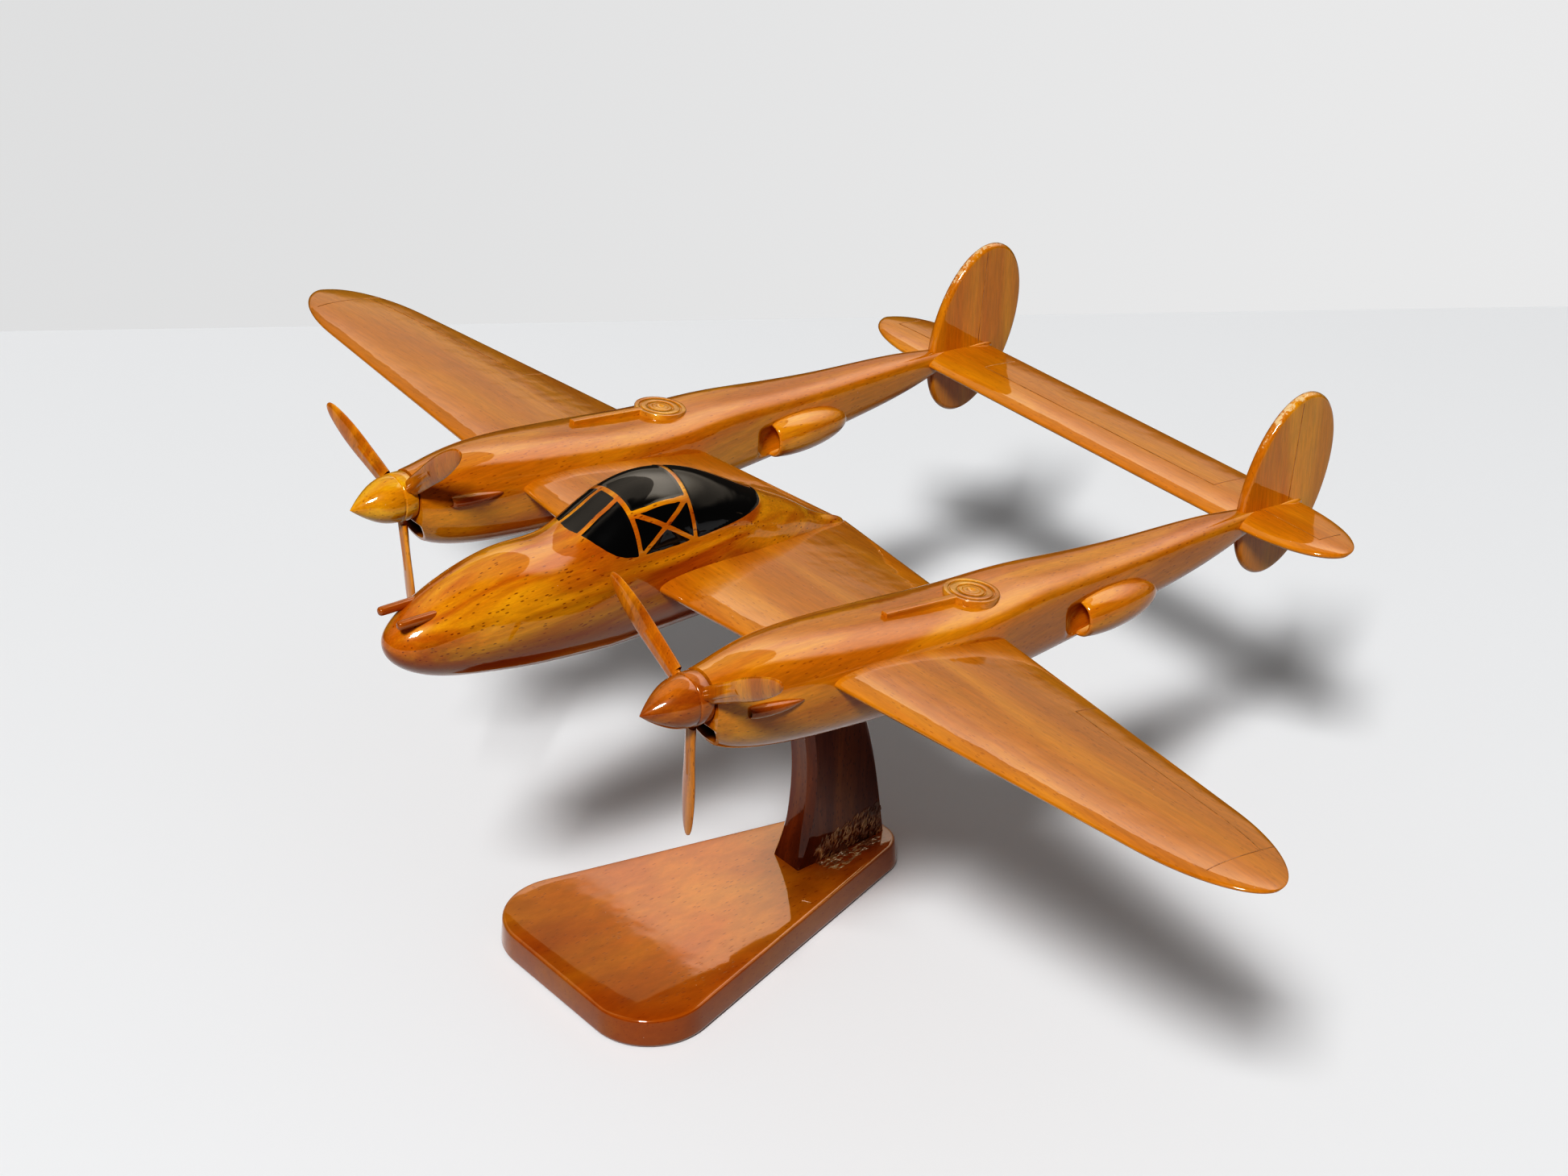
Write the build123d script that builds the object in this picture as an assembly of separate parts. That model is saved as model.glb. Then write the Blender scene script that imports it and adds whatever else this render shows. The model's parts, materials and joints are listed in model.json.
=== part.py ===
from build123d import *
import math
import os

# A carved wooden desk model of a twin-boom, twin-engine fighter, on a wooden stand.
# Millimetres. The aircraft is modelled level, nose towards -Y, port wing towards +X, with the
# point midway between the two spinner tips at zero. It is then pitched and set on the stand,
# whose underside centre is the origin of the finished object, +Z up.

# ---------------------------------------------------------------- overall sizes
wing_span = 388.0
boom_spacing = 124.0          # between the two propeller axes
nose_up = 3.5                 # degrees the aircraft is pitched on its stand
spinner_height = 124.5        # underside of the base to the propeller axis at its tip
spinner_reach = 70.0          # base centre forward to the spinner tips

# ---------------------------------------------------------------- stand
base_length = 111.0
base_front_width = 83.0
base_rear_width = 21.0
base_thickness = 8.6
base_flare = 0.8              # how much further out the underside is than the top, each side
base_front_corner = 17.0
base_rear_corner = 8.0
base_top_round = 1.0
base_under_round = 1.6
post_width = 10.6
post_inset = 2.2              # post back edge in from the rear end of the base
post_foot_length = 31.0
post_waist_length = 20.5
post_waist_step = 4.3         # waist front edge back from the foot's
post_waist_height = 38.0      # above the base top
post_neck_length = 15.0
post_neck_lead = 14.0         # neck front edge forward of the foot's
post_chamfer = 2.0
post_seat_gap = 0.10          # saddle of the post under the belly
peg_diameter = 4.0
peg_spacing = 8.5
peg_depth = 11.0              # in the post
peg_height = 9.0              # in the belly
peg_clearance = 0.06          # on the radius, in the belly
screw_diameter = 3.5
screw_head_diameter = 7.0
screw_head_depth = 2.8
screw_sink = 1.0
screw_length = 22.0
screw_spacing = 15.0

# ---------------------------------------------------------------- carved bodies
# Each station is (distance aft, half width, top, bottom, squareness of the outline).
pod_stations = [
    (-28.6, 0.9, -1.2, -3.2, 2.0), (-27.8, 3.0, 0.4, -5.2, 2.0), (-25.6, 5.6, 2.6, -7.8, 2.0),
    (-21.6, 8.1, 5.2, -10.4, 2.0), (-14.8, 10.4, 8.6, -13.0, 2.05), (-5.0, 12.5, 11.8, -15.0, 2.1),
    (8.0, 14.0, 13.9, -17.0, 2.15), (22.0, 14.5, 14.4, -18.3, 2.2), (30.0, 14.4, 18.2, -18.9, 2.35),
    (38.0, 14.2, 22.0, -19.2, 2.4), (46.0, 14.0, 23.7, -19.4, 2.3), (54.0, 13.7, 23.0, -19.5, 2.2),
    (62.0, 13.0, 20.5, -19.5, 2.15), (72.0, 11.6, 15.4, -19.1, 2.1), (83.0, 9.2, 9.2, -18.0, 2.1),
    (95.0, 5.9, 2.4, -16.0, 2.1), (105.0, 2.9, -3.8, -13.6, 2.0), (112.5, 0.8, -7.8, -11.4, 2.0),
]
boom_stations = [
    (17.2, 7.2, 6.8, -11.6, 2.1), (21.0, 8.4, 7.1, -14.0, 2.2), (27.0, 9.9, 7.9, -16.1, 2.3),
    (35.0, 11.3, 8.5, -17.4, 2.45), (48.0, 12.6, 8.0, -18.3, 2.6), (62.0, 13.0, 6.5, -18.9, 2.8),
    (80.0, 13.0, 4.2, -19.2, 3.0), (98.0, 12.4, 2.6, -19.1, 3.0), (115.0, 10.8, 2.5, -18.7, 3.0),
    (135.0, 9.0, 1.0, -17.6, 2.9), (160.0, 6.8, -0.6, -15.3, 2.8), (190.0, 4.2, -1.8, -10.9, 2.5),
    (211.0, 2.2, -3.3, -7.5, 2.2), (221.0, 0.8, -4.5, -5.9, 2.0),
]
outline_points = 20
chin_rake = 25.0              # degrees, nacelle face set back below the spinner
intake_width = 10.0
intake_height = 3.4
intake_depth = 5.0
intake_drop = 9.6             # below the propeller axis

# ---------------------------------------------------------------- wing
wing_root_front = 40.2        # leading edge on the centre line
wing_root_rear = 113.5        # trailing edge on the centre line
wing_tip_front = 59.0
wing_tip_rear = 83.6
wing_front_height = -1.4
wing_root_rear_height = -8.6
wing_tip_rear_height = -2.2
wing_root_thickness = 8.6
wing_tip_thickness = 3.2
tip_round_length = 30.0
tip_middle = 0.48             # share of the chord that the tip closes towards
tip_fullness = 2.3            # 2 gives half an ellipse in plan, more gives a squarer tip
section_fullness = 0.65       # of the thickness, at the nose end of every section
section_fineness = 0.66       # how much thinner a section gets on its way aft
wing_dowel_diameter = 4.0
wing_dowel_grip = 6.0         # length in each of the two pieces it joins
wing_dowel_places = (0.38, 0.62)

# ---------------------------------------------------------------- tail
fin_centre = (213.0, 1.5)     # aft, up
fin_half_height = 25.0
fin_half_chord = 16.0
fin_rake = 0.20               # aft shift for each millimetre of height
fin_thickness = 3.0
fin_edge_round = 1.3
stabilizer_front = 193.2
stabilizer_rear = 218.5
stabilizer_height = -5.1
stabilizer_thickness = 4.0
stabilizer_tip_reach = 30.5   # outboard of the boom

# ---------------------------------------------------------------- fittings
gun_diameter = 2.3
gun_offset = 4.2
gun_height = 5.3
gun_reach = 27.7
gun_seat = 10.0               # the wooden tube starts this far ahead of the spinner tips
charger_place = 99.5
charger_offset = 1.6
charger_diameter = 14.2
charger_thickness = 1.9
charger_height = 3.7
charger_tilt = 6.0
charger_rings = ((5.6, 0.5), (3.4, 0.5))   # groove radius, groove width
charger_groove_depth = 0.4
duct_front = 70.3
duct_width = 2.1
duct_offset = 2.4
duct_stand = 1.2
radiator_front = 130.8
radiator_length = 27.5
radiator_half_height = 5.6
radiator_stand = 5.8
radiator_height = -10.4
radiator_wall = 1.1
radiator_cup_depth = 9.0
exhaust_front = 24.5
exhaust_length = 14.5
exhaust_half_height = 1.7
exhaust_heights = {"inner": -0.4, "outer": -2.6}
exhaust_bore = 1.0
exhaust_stand = 1.15          # how far it stands out, against its half height

# ---------------------------------------------------------------- propellers
propeller_radius = 37.3
blade_count = 3
blade_plane = 14.9
blade_root_diameter = 2.8
blade_seat_radius = 3.4
spinner_radius = 6.5
cone_fullness = 0.8           # 1 gives a plain sine curve, less gives a blunter nose
cone_overlap = 0.97           # cone radius at the ring, against the ring's
hub_front = 12.6
hub_rear = 16.8
groove_step = 0.35
pin_diameter = 2.0
pin_head_diameter = 4.0
pin_head_thickness = 0.9
pin_head_room = 0.5           # round the head, inside the cap
pin_head_depth = 2.3          # depth of the hollow in the cap
pin_grip = 14.0               # length in the nacelle
bush_diameter = 3.6
bush_clearance = 0.05         # on the radius, on the pin
running_gap = 0.2             # pin head to hub
phase = {"port": 0.4, "starboard": 10.2}


def across(x, y, half_width, top, bottom, squareness):
    """A superellipse outline that stands across the fore-and-aft axis."""
    middle = (top + bottom) / 2
    rise = (top - bottom) / 2
    points = []
    for i in range(outline_points):
        angle = 2 * math.pi * i / outline_points
        side = math.copysign(abs(math.cos(angle)) ** (2 / squareness), math.cos(angle))
        lift = math.copysign(abs(math.sin(angle)) ** (2 / squareness), math.sin(angle))
        points.append(Vector(x + half_width * side, y, middle + rise * lift))
    return Face(Wire([Edge.make_spline(points, periodic=True)]))


def carved(x, stations):
    """A body carved through its stations."""
    return loft([across(x, *station) for station in stations])


def at_station(stations, y):
    """Half width, top and bottom of a carved body, between its stations."""
    for near, far in zip(stations, stations[1:]):
        if y <= far[0]:
            share = (y - near[0]) / (far[0] - near[0])
            return [a + (b - a) * share for a, b in zip(near[1:4], far[1:4])]
    return list(stations[-1][1:4])


def aerofoil(x, front, rear, front_height, rear_height, thickness):
    """A wing section with a full nose and a thin rounded trailing edge."""
    points = []
    for i in range(outline_points):
        angle = 2 * math.pi * i / outline_points
        share = (1 - math.cos(angle)) / 2
        half = section_fullness * thickness * math.sin(angle) * (1 - section_fineness * share)
        height = front_height + (rear_height - front_height) * share
        points.append(Vector(x, front + (rear - front) * share, height + half))
    return Face(Wire([Edge.make_spline(points, periodic=True)]))


def along_y(x, z, y_front, y_rear, radius):
    """A round bar that runs fore and aft."""
    place = Plane(origin=(x, y_front, z), z_dir=(0, 1, 0), x_dir=(1, 0, 0))
    return place * Cylinder(radius, y_rear - y_front, align=(Align.CENTER, Align.CENTER, Align.MIN))


def along_x(x_start, x_end, y, z, radius):
    """A round bar that runs across the aircraft."""
    place = Plane(origin=(x_start, y, z), z_dir=(1, 0, 0), x_dir=(0, 1, 0))
    return place * Cylinder(radius, x_end - x_start, align=(Align.CENTER, Align.CENTER, Align.MIN))


# ---------------------------------------------------------------- wing pieces
def wing_section(x):
    """The wing's outline at a distance from the centre line, rounded in towards the tip."""
    half_span = wing_span / 2
    share = x / half_span
    front = wing_root_front + (wing_tip_front - wing_root_front) * share
    rear = wing_root_rear + (wing_tip_rear - wing_root_rear) * share
    front_height = wing_front_height
    rear_height = wing_root_rear_height + (wing_tip_rear_height - wing_root_rear_height) * share
    thickness = wing_root_thickness + (wing_tip_thickness - wing_root_thickness) * share
    inward = x - (half_span - tip_round_length)
    if inward > 0:
        keep = (1 - (inward / tip_round_length) ** tip_fullness) ** 0.5
        middle = front + (rear - front) * tip_middle
        middle_height = front_height + (rear_height - front_height) * tip_middle
        front_height = middle_height + (front_height - middle_height) * keep
        rear_height = middle_height + (rear_height - middle_height) * keep
        front = middle + (front - middle) * keep
        rear = middle + (rear - middle) * keep
        thickness *= keep ** 0.7
    return front, rear, front_height, rear_height, thickness


def wing_blank(places):
    """A wing panel before its roots are fitted to the pod and the booms."""
    return loft([aerofoil(x, *wing_section(x)) for x in places])


def outer_wing_blank(x_start):
    """The outer panel, straight and then rounded in at its tip."""
    straight = wing_span / 2 - tip_round_length
    tip = [straight + tip_round_length * share for share in (0.0, 0.35, 0.6, 0.8, 0.92, 0.98)]
    return wing_blank([x_start, straight]) + wing_blank(tip)


def wing_dowels(x):
    """Two dowels across a wing joint."""
    front, rear, front_height, rear_height, _ = wing_section(x)
    bars = []
    for share in wing_dowel_places:
        y = front + (rear - front) * share
        z = front_height + (rear_height - front_height) * share
        bars.append(along_x(x - wing_dowel_grip, x + wing_dowel_grip, y, z, wing_dowel_diameter / 2))
    return bars


# ---------------------------------------------------------------- nacelle fittings
def nacelle_nose_cuts(x):
    """The raked face under the spinner and the mouth of the chin intake."""
    hinge = boom_stations[0][0]
    rake = Pos(x, hinge, -spinner_radius) * Rot(-chin_rake, 0, 0) * Pos(0, -10, -20) * Box(60, 20, 40)
    mouth = Plane(origin=(x, hinge - 2, -intake_drop), z_dir=(0, 1, 0), x_dir=(1, 0, 0))
    slot = extrude(mouth * SlotOverall(intake_width, intake_height), intake_depth + 2)
    return rake, slot


def charger_frame(x):
    """Where the supercharger disc lies: its rim on the nacelle deck, tilted with the deck."""
    return Pos(x + charger_offset, charger_place, charger_height) * Rot(-charger_tilt, 0, 0)


def charger_disc(x):
    """A turned disc with two scribed rings and a dished centre."""
    frame = charger_frame(x)
    down = (Align.CENTER, Align.CENTER, Align.MAX)
    disc = Cylinder(charger_diameter / 2, charger_thickness, align=down)
    disc = chamfer(disc.edges().sort_by(Axis.Z)[-1], 0.3)
    for radius, width in charger_rings:
        outer = Cylinder(radius + width / 2, charger_groove_depth, align=down)
        inner = Cylinder(radius - width / 2, charger_groove_depth, align=down)
        disc -= outer - inner
    disc -= Pos(0, 0, 1.2) * Sphere(1.7)
    return frame * disc


def charger_recess(x):
    """The seat cut for the disc in the nacelle deck."""
    up = (Align.CENTER, Align.CENTER, Align.MIN)
    seat = Pos(0, 0, -charger_thickness) * Cylinder(charger_diameter / 2, charger_thickness + 6, align=up)
    return charger_frame(x) * seat


def duct_strip(x):
    """The straight strip ahead of the disc, standing on the deck."""
    rear = charger_place
    _, front_top, _ = at_station(boom_stations, duct_front)
    _, rear_top, _ = at_station(boom_stations, rear)
    fall = math.degrees(math.atan2(front_top - rear_top, rear - duct_front))
    frame = Pos(x + duct_offset, duct_front, front_top + duct_stand) * Rot(-fall, 0, 0)
    strip = Box(duct_width, rear - duct_front, 5, align=(Align.CENTER, Align.MIN, Align.MAX))
    strip = fillet(strip.edges().filter_by(Axis.Y).group_by(Axis.Z)[-1], 0.4)
    return frame * strip


def radiator(x_side):
    """A half-bullet scoop on the boom's side, hollow behind its lip."""
    shares = ((0.0, 0.92), (0.12, 1.0), (0.35, 1.03), (0.6, 0.92), (0.8, 0.70), (0.93, 0.40), (1.0, 0.12))
    skin = []
    cup = []
    for share, size in shares:
        y = radiator_front + radiator_length * share
        half = radiator_half_height * size
        skin.append(across(x_side, y, radiator_stand * size, radiator_height + half, radiator_height - half, 2.2))
    for share, size in ((-0.1, 0.93), (0.0, 0.92), (0.6, 0.85), (1.0, 0.35)):
        y = radiator_front + radiator_cup_depth * share
        half = radiator_half_height * size - radiator_wall
        wide = radiator_stand * size - radiator_wall
        cup.append(across(x_side, y, wide, radiator_height + half, radiator_height - half, 2.2))
    return loft(skin) - loft(cup)


def radiator_recess(x_side):
    """The scoop's run-in, gouged in the boom ahead of the lip."""
    rings = ((-5.0, 0.15), (-4.0, 0.5), (-2.0, 0.8), (0.5, 0.92), (4.0, 0.8), (6.5, 0.3))
    sections = []
    for step, size in rings:
        half = (radiator_half_height - radiator_wall) * size
        wide = 2.6 * size
        y = radiator_front + step
        sections.append(across(x_side, y, wide, radiator_height + half, radiator_height - half, 2.0))
    return loft(sections)


def exhaust(x_boom, outward, middle):
    """A small teardrop stub along the nacelle's cheek, drilled in front."""
    sections = []
    for share, size in ((0.0, 0.85), (0.15, 1.0), (0.5, 0.9), (0.8, 0.5), (1.0, 0.15)):
        y = exhaust_front + exhaust_length * share
        half_width, _, _ = at_station(boom_stations, y)
        half = exhaust_half_height * size
        x = x_boom + outward * (half_width - 0.1)
        sections.append(across(x, y, half * exhaust_stand, middle + half, middle - half, 2.0))
    half_width, _, _ = at_station(boom_stations, exhaust_front)
    x = x_boom + outward * (half_width + exhaust_bore / 2)
    bore = along_y(x, middle, exhaust_front - 1, exhaust_front + 2.5, exhaust_bore / 2)
    return loft(sections) - bore


# ---------------------------------------------------------------- tail pieces
def fin_blank(x):
    """An egg-shaped plate, raked aft, its edge rounded over on both sides."""
    aft, up = fin_centre
    points = []
    for i in range(outline_points):
        angle = 2 * math.pi * i / outline_points
        rise = fin_half_height * math.sin(angle)
        along = aft + fin_rake * rise + fin_half_chord * math.cos(angle)
        points.append(Vector(x - fin_thickness / 2, along, up + rise))
    outline = Face(Wire([Edge.make_spline(points, periodic=True)]))
    plate = extrude(outline, fin_thickness, dir=(1, 0, 0))
    rims = plate.edges().filter_by(lambda edge: edge.length > fin_half_height)
    return fillet(rims, fin_edge_round)


def stabilizer_section(x, keep=1.0):
    """The tailplane's section, drawn in towards its tip by keep."""
    middle = (stabilizer_front + stabilizer_rear) / 2
    half = (stabilizer_rear - stabilizer_front) / 2 * keep
    thick = stabilizer_thickness * keep ** 0.6
    return aerofoil(x, middle - half, middle + half, stabilizer_height, stabilizer_height, thick)


def stabilizer_tip(x_boom):
    """The part of the tailplane outboard of the boom, half an ellipse in plan."""
    shares = (0.0, 0.3, 0.55, 0.75, 0.88, 0.96, 0.99)
    sections = [stabilizer_section(x_boom)]
    for share in shares[1:]:
        keep = (1 - share ** tip_fullness) ** 0.5
        sections.append(stabilizer_section(x_boom + stabilizer_tip_reach * share, keep))
    return loft(sections)


# ---------------------------------------------------------------- propeller pieces
def spinner_cone(x):
    """The pointed cap, hollow behind for the head of the pin."""
    profile = []
    steps = 8
    for i in range(steps + 1):
        share = i / steps
        round_out = math.sin(share * math.pi / 2) ** cone_fullness
        profile.append((spinner_radius * cone_overlap * round_out, hub_front * share))
    outline = Polyline((profile[-1][0], hub_front), (0, hub_front), (0, 0))
    cone = Rot(-90, 0, 0) * revolve(Plane.XZ * make_face(Spline(*profile) + outline), Axis.Z)
    room = pin_head_diameter / 2 + pin_head_room
    cone -= along_y(0, 0, hub_front - pin_head_depth, hub_front, room)
    return Pos(x, 0, 0) * cone


def spinner_hub(x, angles):
    """The ring behind the cap that holds the blades and the bush."""
    hub = along_y(0, 0, hub_front, hub_rear, spinner_radius)
    groove_rear = hub_front + groove_step
    hub -= along_y(0, 0, hub_front, groove_rear, spinner_radius) - along_y(
        0, 0, hub_front, groove_rear, spinner_radius - groove_step)
    hub -= along_y(0, 0, hub_front, hub_rear, bush_diameter / 2)
    for angle in angles:
        hub -= blade_frame(angle) * Pos(0, 0, blade_seat_radius) * Cylinder(
            blade_root_diameter / 2, spinner_radius, align=(Align.CENTER, Align.CENTER, Align.MIN))
    return Pos(x, 0, 0) * hub


def blade_frame(angle):
    """A frame whose Z axis runs out along a blade and whose X axis lies in the disc it sweeps."""
    turn = math.radians(angle)
    return Plane(origin=(0, blade_plane, 0), z_dir=(math.cos(turn), 0, math.sin(turn)),
                 x_dir=(-math.sin(turn), 0, math.cos(turn)))


def blade(x, angle):
    """A carved blade with a round root, twisted, thin and rounded at the tip."""
    sections = []
    for share, chord, thick, twist in (
        (0.17, 2.6, 2.5, 22), (0.27, 3.9, 2.1, 19), (0.42, 5.4, 1.8, 15), (0.58, 6.0, 1.6, 12),
        (0.74, 5.8, 1.4, 10), (0.87, 4.7, 1.2, 9), (0.95, 3.2, 1.0, 8), (0.99, 1.6, 0.7, 8),
    ):
        section = Rot(0, 0, twist) * Ellipse(chord / 2, thick / 2)
        sections.append(blade_frame(angle) * (Pos(0, 0, propeller_radius * share) * section))
    shank = blade_frame(angle) * Pos(0, 0, blade_seat_radius) * Cylinder(
        blade_root_diameter / 2, propeller_radius * 0.18 - blade_seat_radius,
        align=(Align.CENTER, Align.CENTER, Align.MIN))
    return Pos(x, 0, 0) * (loft([s.face() for s in sections]) + shank)


def propeller(side):
    """One propeller about its own axis: cap, ring, blades and bush."""
    x = boom_spacing / 2 * (1 if side == "port" else -1)
    angles = [-90 + phase[side] + 360 / blade_count * i for i in range(blade_count)]
    bush = along_y(x, 0, hub_front, hub_rear, bush_diameter / 2)
    bush -= along_y(x, 0, hub_front, hub_rear, pin_diameter / 2 + bush_clearance)
    pieces = {f"spinner_cone_{side}": spinner_cone(x), f"spinner_hub_{side}": spinner_hub(x, angles),
              f"hub_bush_{side}": bush}
    for i, angle in enumerate(angles):
        pieces[f"blade_{side}_{i + 1}"] = blade(x, angle)
    return pieces


def propeller_pin(x):
    """The headed pin that the propeller turns on, driven into the nacelle."""
    head_rear = hub_front - running_gap
    pin = along_y(x, 0, head_rear, boom_stations[0][0] + pin_grip, pin_diameter / 2)
    return pin + along_y(x, 0, head_rear - pin_head_thickness, head_rear, pin_head_diameter / 2)


# ---------------------------------------------------------------- stand pieces
def stand_base():
    """A tapering board with round corners, its sides spreading a little to the underside."""
    half_front = base_front_width / 2
    half_rear = base_rear_width / 2
    front = -base_length / 2
    rear = base_length / 2
    outline = make_face(Polyline((-half_front, front), (half_front, front), (half_rear, rear),
                                 (-half_rear, rear), close=True))
    corners = outline.vertices().sort_by(Axis.Y)
    outline = fillet(corners[:2], base_front_corner)
    outline = fillet(outline.vertices().sort_by(Axis.Y)[-2:], min(base_rear_corner, half_rear - 1.0))
    flare = math.degrees(math.atan2(base_flare, base_thickness))
    board = extrude(Pos(0, 0, base_thickness) * outline, base_thickness, dir=(0, 0, -1), taper=-flare)
    board = fillet(board.edges().group_by(Axis.Z)[-1], base_top_round)
    board = fillet(board.edges().group_by(Axis.Z)[0], base_under_round)
    for place in screw_places():
        board -= screw(place)
    return board


def post_fore_and_aft():
    """Where the post's foot starts and ends, front first."""
    rear = base_length / 2 - post_inset
    return rear - post_foot_length, rear


def neck_fore_and_aft():
    """Where the post's neck starts and ends, front first."""
    front = post_fore_and_aft()[0] - post_neck_lead
    return front, front + post_neck_length


def belly_height(y):
    """Height of the pod's underside above the ground, over a point on the stand."""
    pitch = math.radians(nose_up)
    along = (y + spinner_reach) / math.cos(pitch)
    bottom = at_station(pod_stations, along)[2]
    return spinner_height + bottom * math.cos(pitch) - along * math.sin(pitch)


def post_outline():
    """The post's side view: upright from foot to waist, then swept forward to the neck."""
    foot_front, foot_rear = post_fore_and_aft()
    neck_front, neck_rear = neck_fore_and_aft()
    waist_front = foot_front + post_waist_step
    waist_rear = waist_front + post_waist_length
    foot = base_thickness
    waist = foot + post_waist_height
    top = belly_height(neck_rear) + 5.0
    low = foot + post_waist_height * 0.35
    high = (waist + top) / 2
    front = Spline((foot_front, foot), (foot_front + post_waist_step * 0.75, low), (waist_front, waist),
                   ((waist_front + neck_front) / 2 + 1.5, high), (neck_front, top))
    rear = Spline((foot_rear, foot), (foot_rear + (waist_rear - foot_rear) * 0.28, low), (waist_rear, waist),
                  ((waist_rear + neck_rear) / 2 + 1.0, high), (neck_rear, top))
    ends = Line((foot_front, foot), (foot_rear, foot)) + Line((neck_front, top), (neck_rear, top))
    return make_face(front + rear + ends)


def stand_post(belly):
    """The post, sawn from a plank, its front edges chamfered, its top hollowed to the belly."""
    side = Plane(origin=(-post_width / 2, 0, 0), z_dir=(1, 0, 0), x_dir=(0, 1, 0)) * post_outline()
    post = extrude(side, post_width, dir=(1, 0, 0))
    upright = post.edges().filter_by(lambda edge: edge.length > post_waist_height * 1.5)
    post = chamfer(upright.sort_by(Axis.Y)[:2], post_chamfer)
    post -= Pos(0, 0, -post_seat_gap) * belly
    for place in screw_places():
        post -= screw(place)
    for place in peg_places():
        post -= peg(place)
    return post


def screw_places():
    """Two screws, fore and aft, under the foot of the post."""
    middle = sum(post_fore_and_aft()) / 2
    return [middle - screw_spacing / 2, middle + screw_spacing / 2]


def screw(y):
    """A countersunk screw driven up through the base into the post."""
    up = (Align.CENTER, Align.CENTER, Align.MIN)
    head = Cone(screw_head_diameter / 2, screw_diameter / 2, screw_head_depth, align=up)
    shank = Cylinder(screw_diameter / 2, screw_length, align=up)
    sink = Cylinder(screw_head_diameter / 2, screw_sink, align=(Align.CENTER, Align.CENTER, Align.MAX))
    return Pos(0, y, screw_sink) * (head + shank + sink)


def screw_set():
    """The two screws as they are driven, without the counterbores below their heads."""
    below = Box(20, base_length, screw_sink, align=(Align.CENTER, Align.CENTER, Align.MIN))
    return [screw(place) - below for place in screw_places()]


def peg_places():
    """Two pegs, fore and aft, in the neck of the post."""
    middle = sum(neck_fore_and_aft()) / 2
    return [middle - peg_spacing / 2, middle + peg_spacing / 2]


def peg(y, clearance=0.0):
    """A round peg that stands in the post and enters the belly."""
    low = belly_height(y) - peg_depth
    bar = Cylinder(peg_diameter / 2 + clearance, peg_depth + peg_height + clearance * 10,
                   align=(Align.CENTER, Align.CENTER, Align.MIN))
    return Pos(0, y, low) * bar


# ---------------------------------------------------------------- assembly
def nacelle_pieces():
    """The port boom with all that is let into it, about the spinner tips, level."""
    half = boom_spacing / 2
    boom = carved(half, boom_stations)
    pieces = {}
    for name, outward in (("inner", -1), ("outer", 1)):
        x_side = half + outward * at_station(boom_stations, radiator_front + radiator_length / 2)[0]
        pieces[f"radiator_{name}"] = radiator(x_side) - boom
        pieces[f"exhaust_{name}"] = exhaust(half, outward, exhaust_heights[name]) - boom
        boom -= radiator_recess(x_side) - pieces[f"radiator_{name}"]
    pieces["duct_strip"] = duct_strip(half) - charger_recess(half) - boom
    pieces["supercharger"] = charger_disc(half)
    pieces["fin"] = fin_blank(half) - boom
    pieces["propeller_pin"] = propeller_pin(half)
    pieces["boom"] = boom
    return pieces


def wing_pieces(pod, boom):
    """The port wing panels, fitted to the pod and the boom, and the dowels in their roots."""
    half = boom_spacing / 2
    middle = (wing_root_front + wing_root_rear) / 2
    pod_side = at_station(pod_stations, middle)[0]
    boom_side = at_station(boom_stations, middle)[0]
    pod_dowels = wing_dowels(pod_side)
    boom_dowels = wing_dowels(half - boom_side) + wing_dowels(half + boom_side)
    inner = wing_blank([0, half]) - pod - boom
    outer = outer_wing_blank(half) - boom
    for dowel in pod_dowels + boom_dowels:
        inner -= dowel
        outer -= dowel
    return inner, outer, pod_dowels, boom_dowels


def aircraft():
    """Every piece of the aircraft but its propellers, about the spinner tips, level."""
    half = boom_spacing / 2
    pod = carved(0, pod_stations)
    port = nacelle_pieces()
    boom = port["boom"]
    inner, outer, pod_dowels, boom_dowels = wing_pieces(pod, boom)
    tail_centre = loft([stabilizer_section(-half), stabilizer_section(half)])
    tail_tip = stabilizer_tip(half)
    for solid in (boom, fin_blank(half)):
        tail_centre = tail_centre - solid - mirror(solid, about=Plane.YZ)
        tail_tip -= solid
    port.update({"wing_inner": inner, "wing_outer": outer, "tailplane_tip": tail_tip})
    port["wing_dowels"] = Compound(children=pod_dowels + boom_dowels)
    port["gun"] = along_y(gun_offset, gun_height, -gun_reach, -gun_seat, gun_diameter / 2)

    rake, mouth = nacelle_nose_cuts(half)
    for cut in [rake, mouth, charger_recess(half), propeller_pin(half)] + boom_dowels:
        boom -= cut
    port["boom"] = boom
    for cut in pod_dowels + [port["gun"]]:
        pod = pod - cut - mirror(cut, about=Plane.YZ)
    pieces = {"centre_pod": pod, "tailplane_centre": tail_centre}
    for name, shape in port.items():
        pieces[f"{name}_port"] = shape
        pieces[f"{name}_starboard"] = mirror(shape, about=Plane.YZ)
    return pieces


def model():
    """Every piece in its place on the stand."""
    attitude = Pos(0, -spinner_reach, spinner_height) * Rot(-nose_up, 0, 0)
    pieces = aircraft()
    for side in ("port", "starboard"):
        pieces.update(propeller(side))
    pieces = {name: attitude * shape for name, shape in pieces.items()}
    post = stand_post(pieces["centre_pod"])
    for place in peg_places():
        pieces["centre_pod"] -= peg(place, peg_clearance)
    pieces.update({"stand_base": stand_base(), "stand_post": post})
    pieces["stand_screws"] = Compound(children=screw_set())
    pieces["peg_front"], pieces["peg_rear"] = [peg(place) for place in peg_places()]
    return pieces


os.makedirs("parts", exist_ok=True)
for node, shape in model().items():
    export_step(shape, f"parts/{node}.step")
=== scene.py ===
import json
import math
import bpy
import numpy as np
from mathutils import Matrix, Vector


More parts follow.
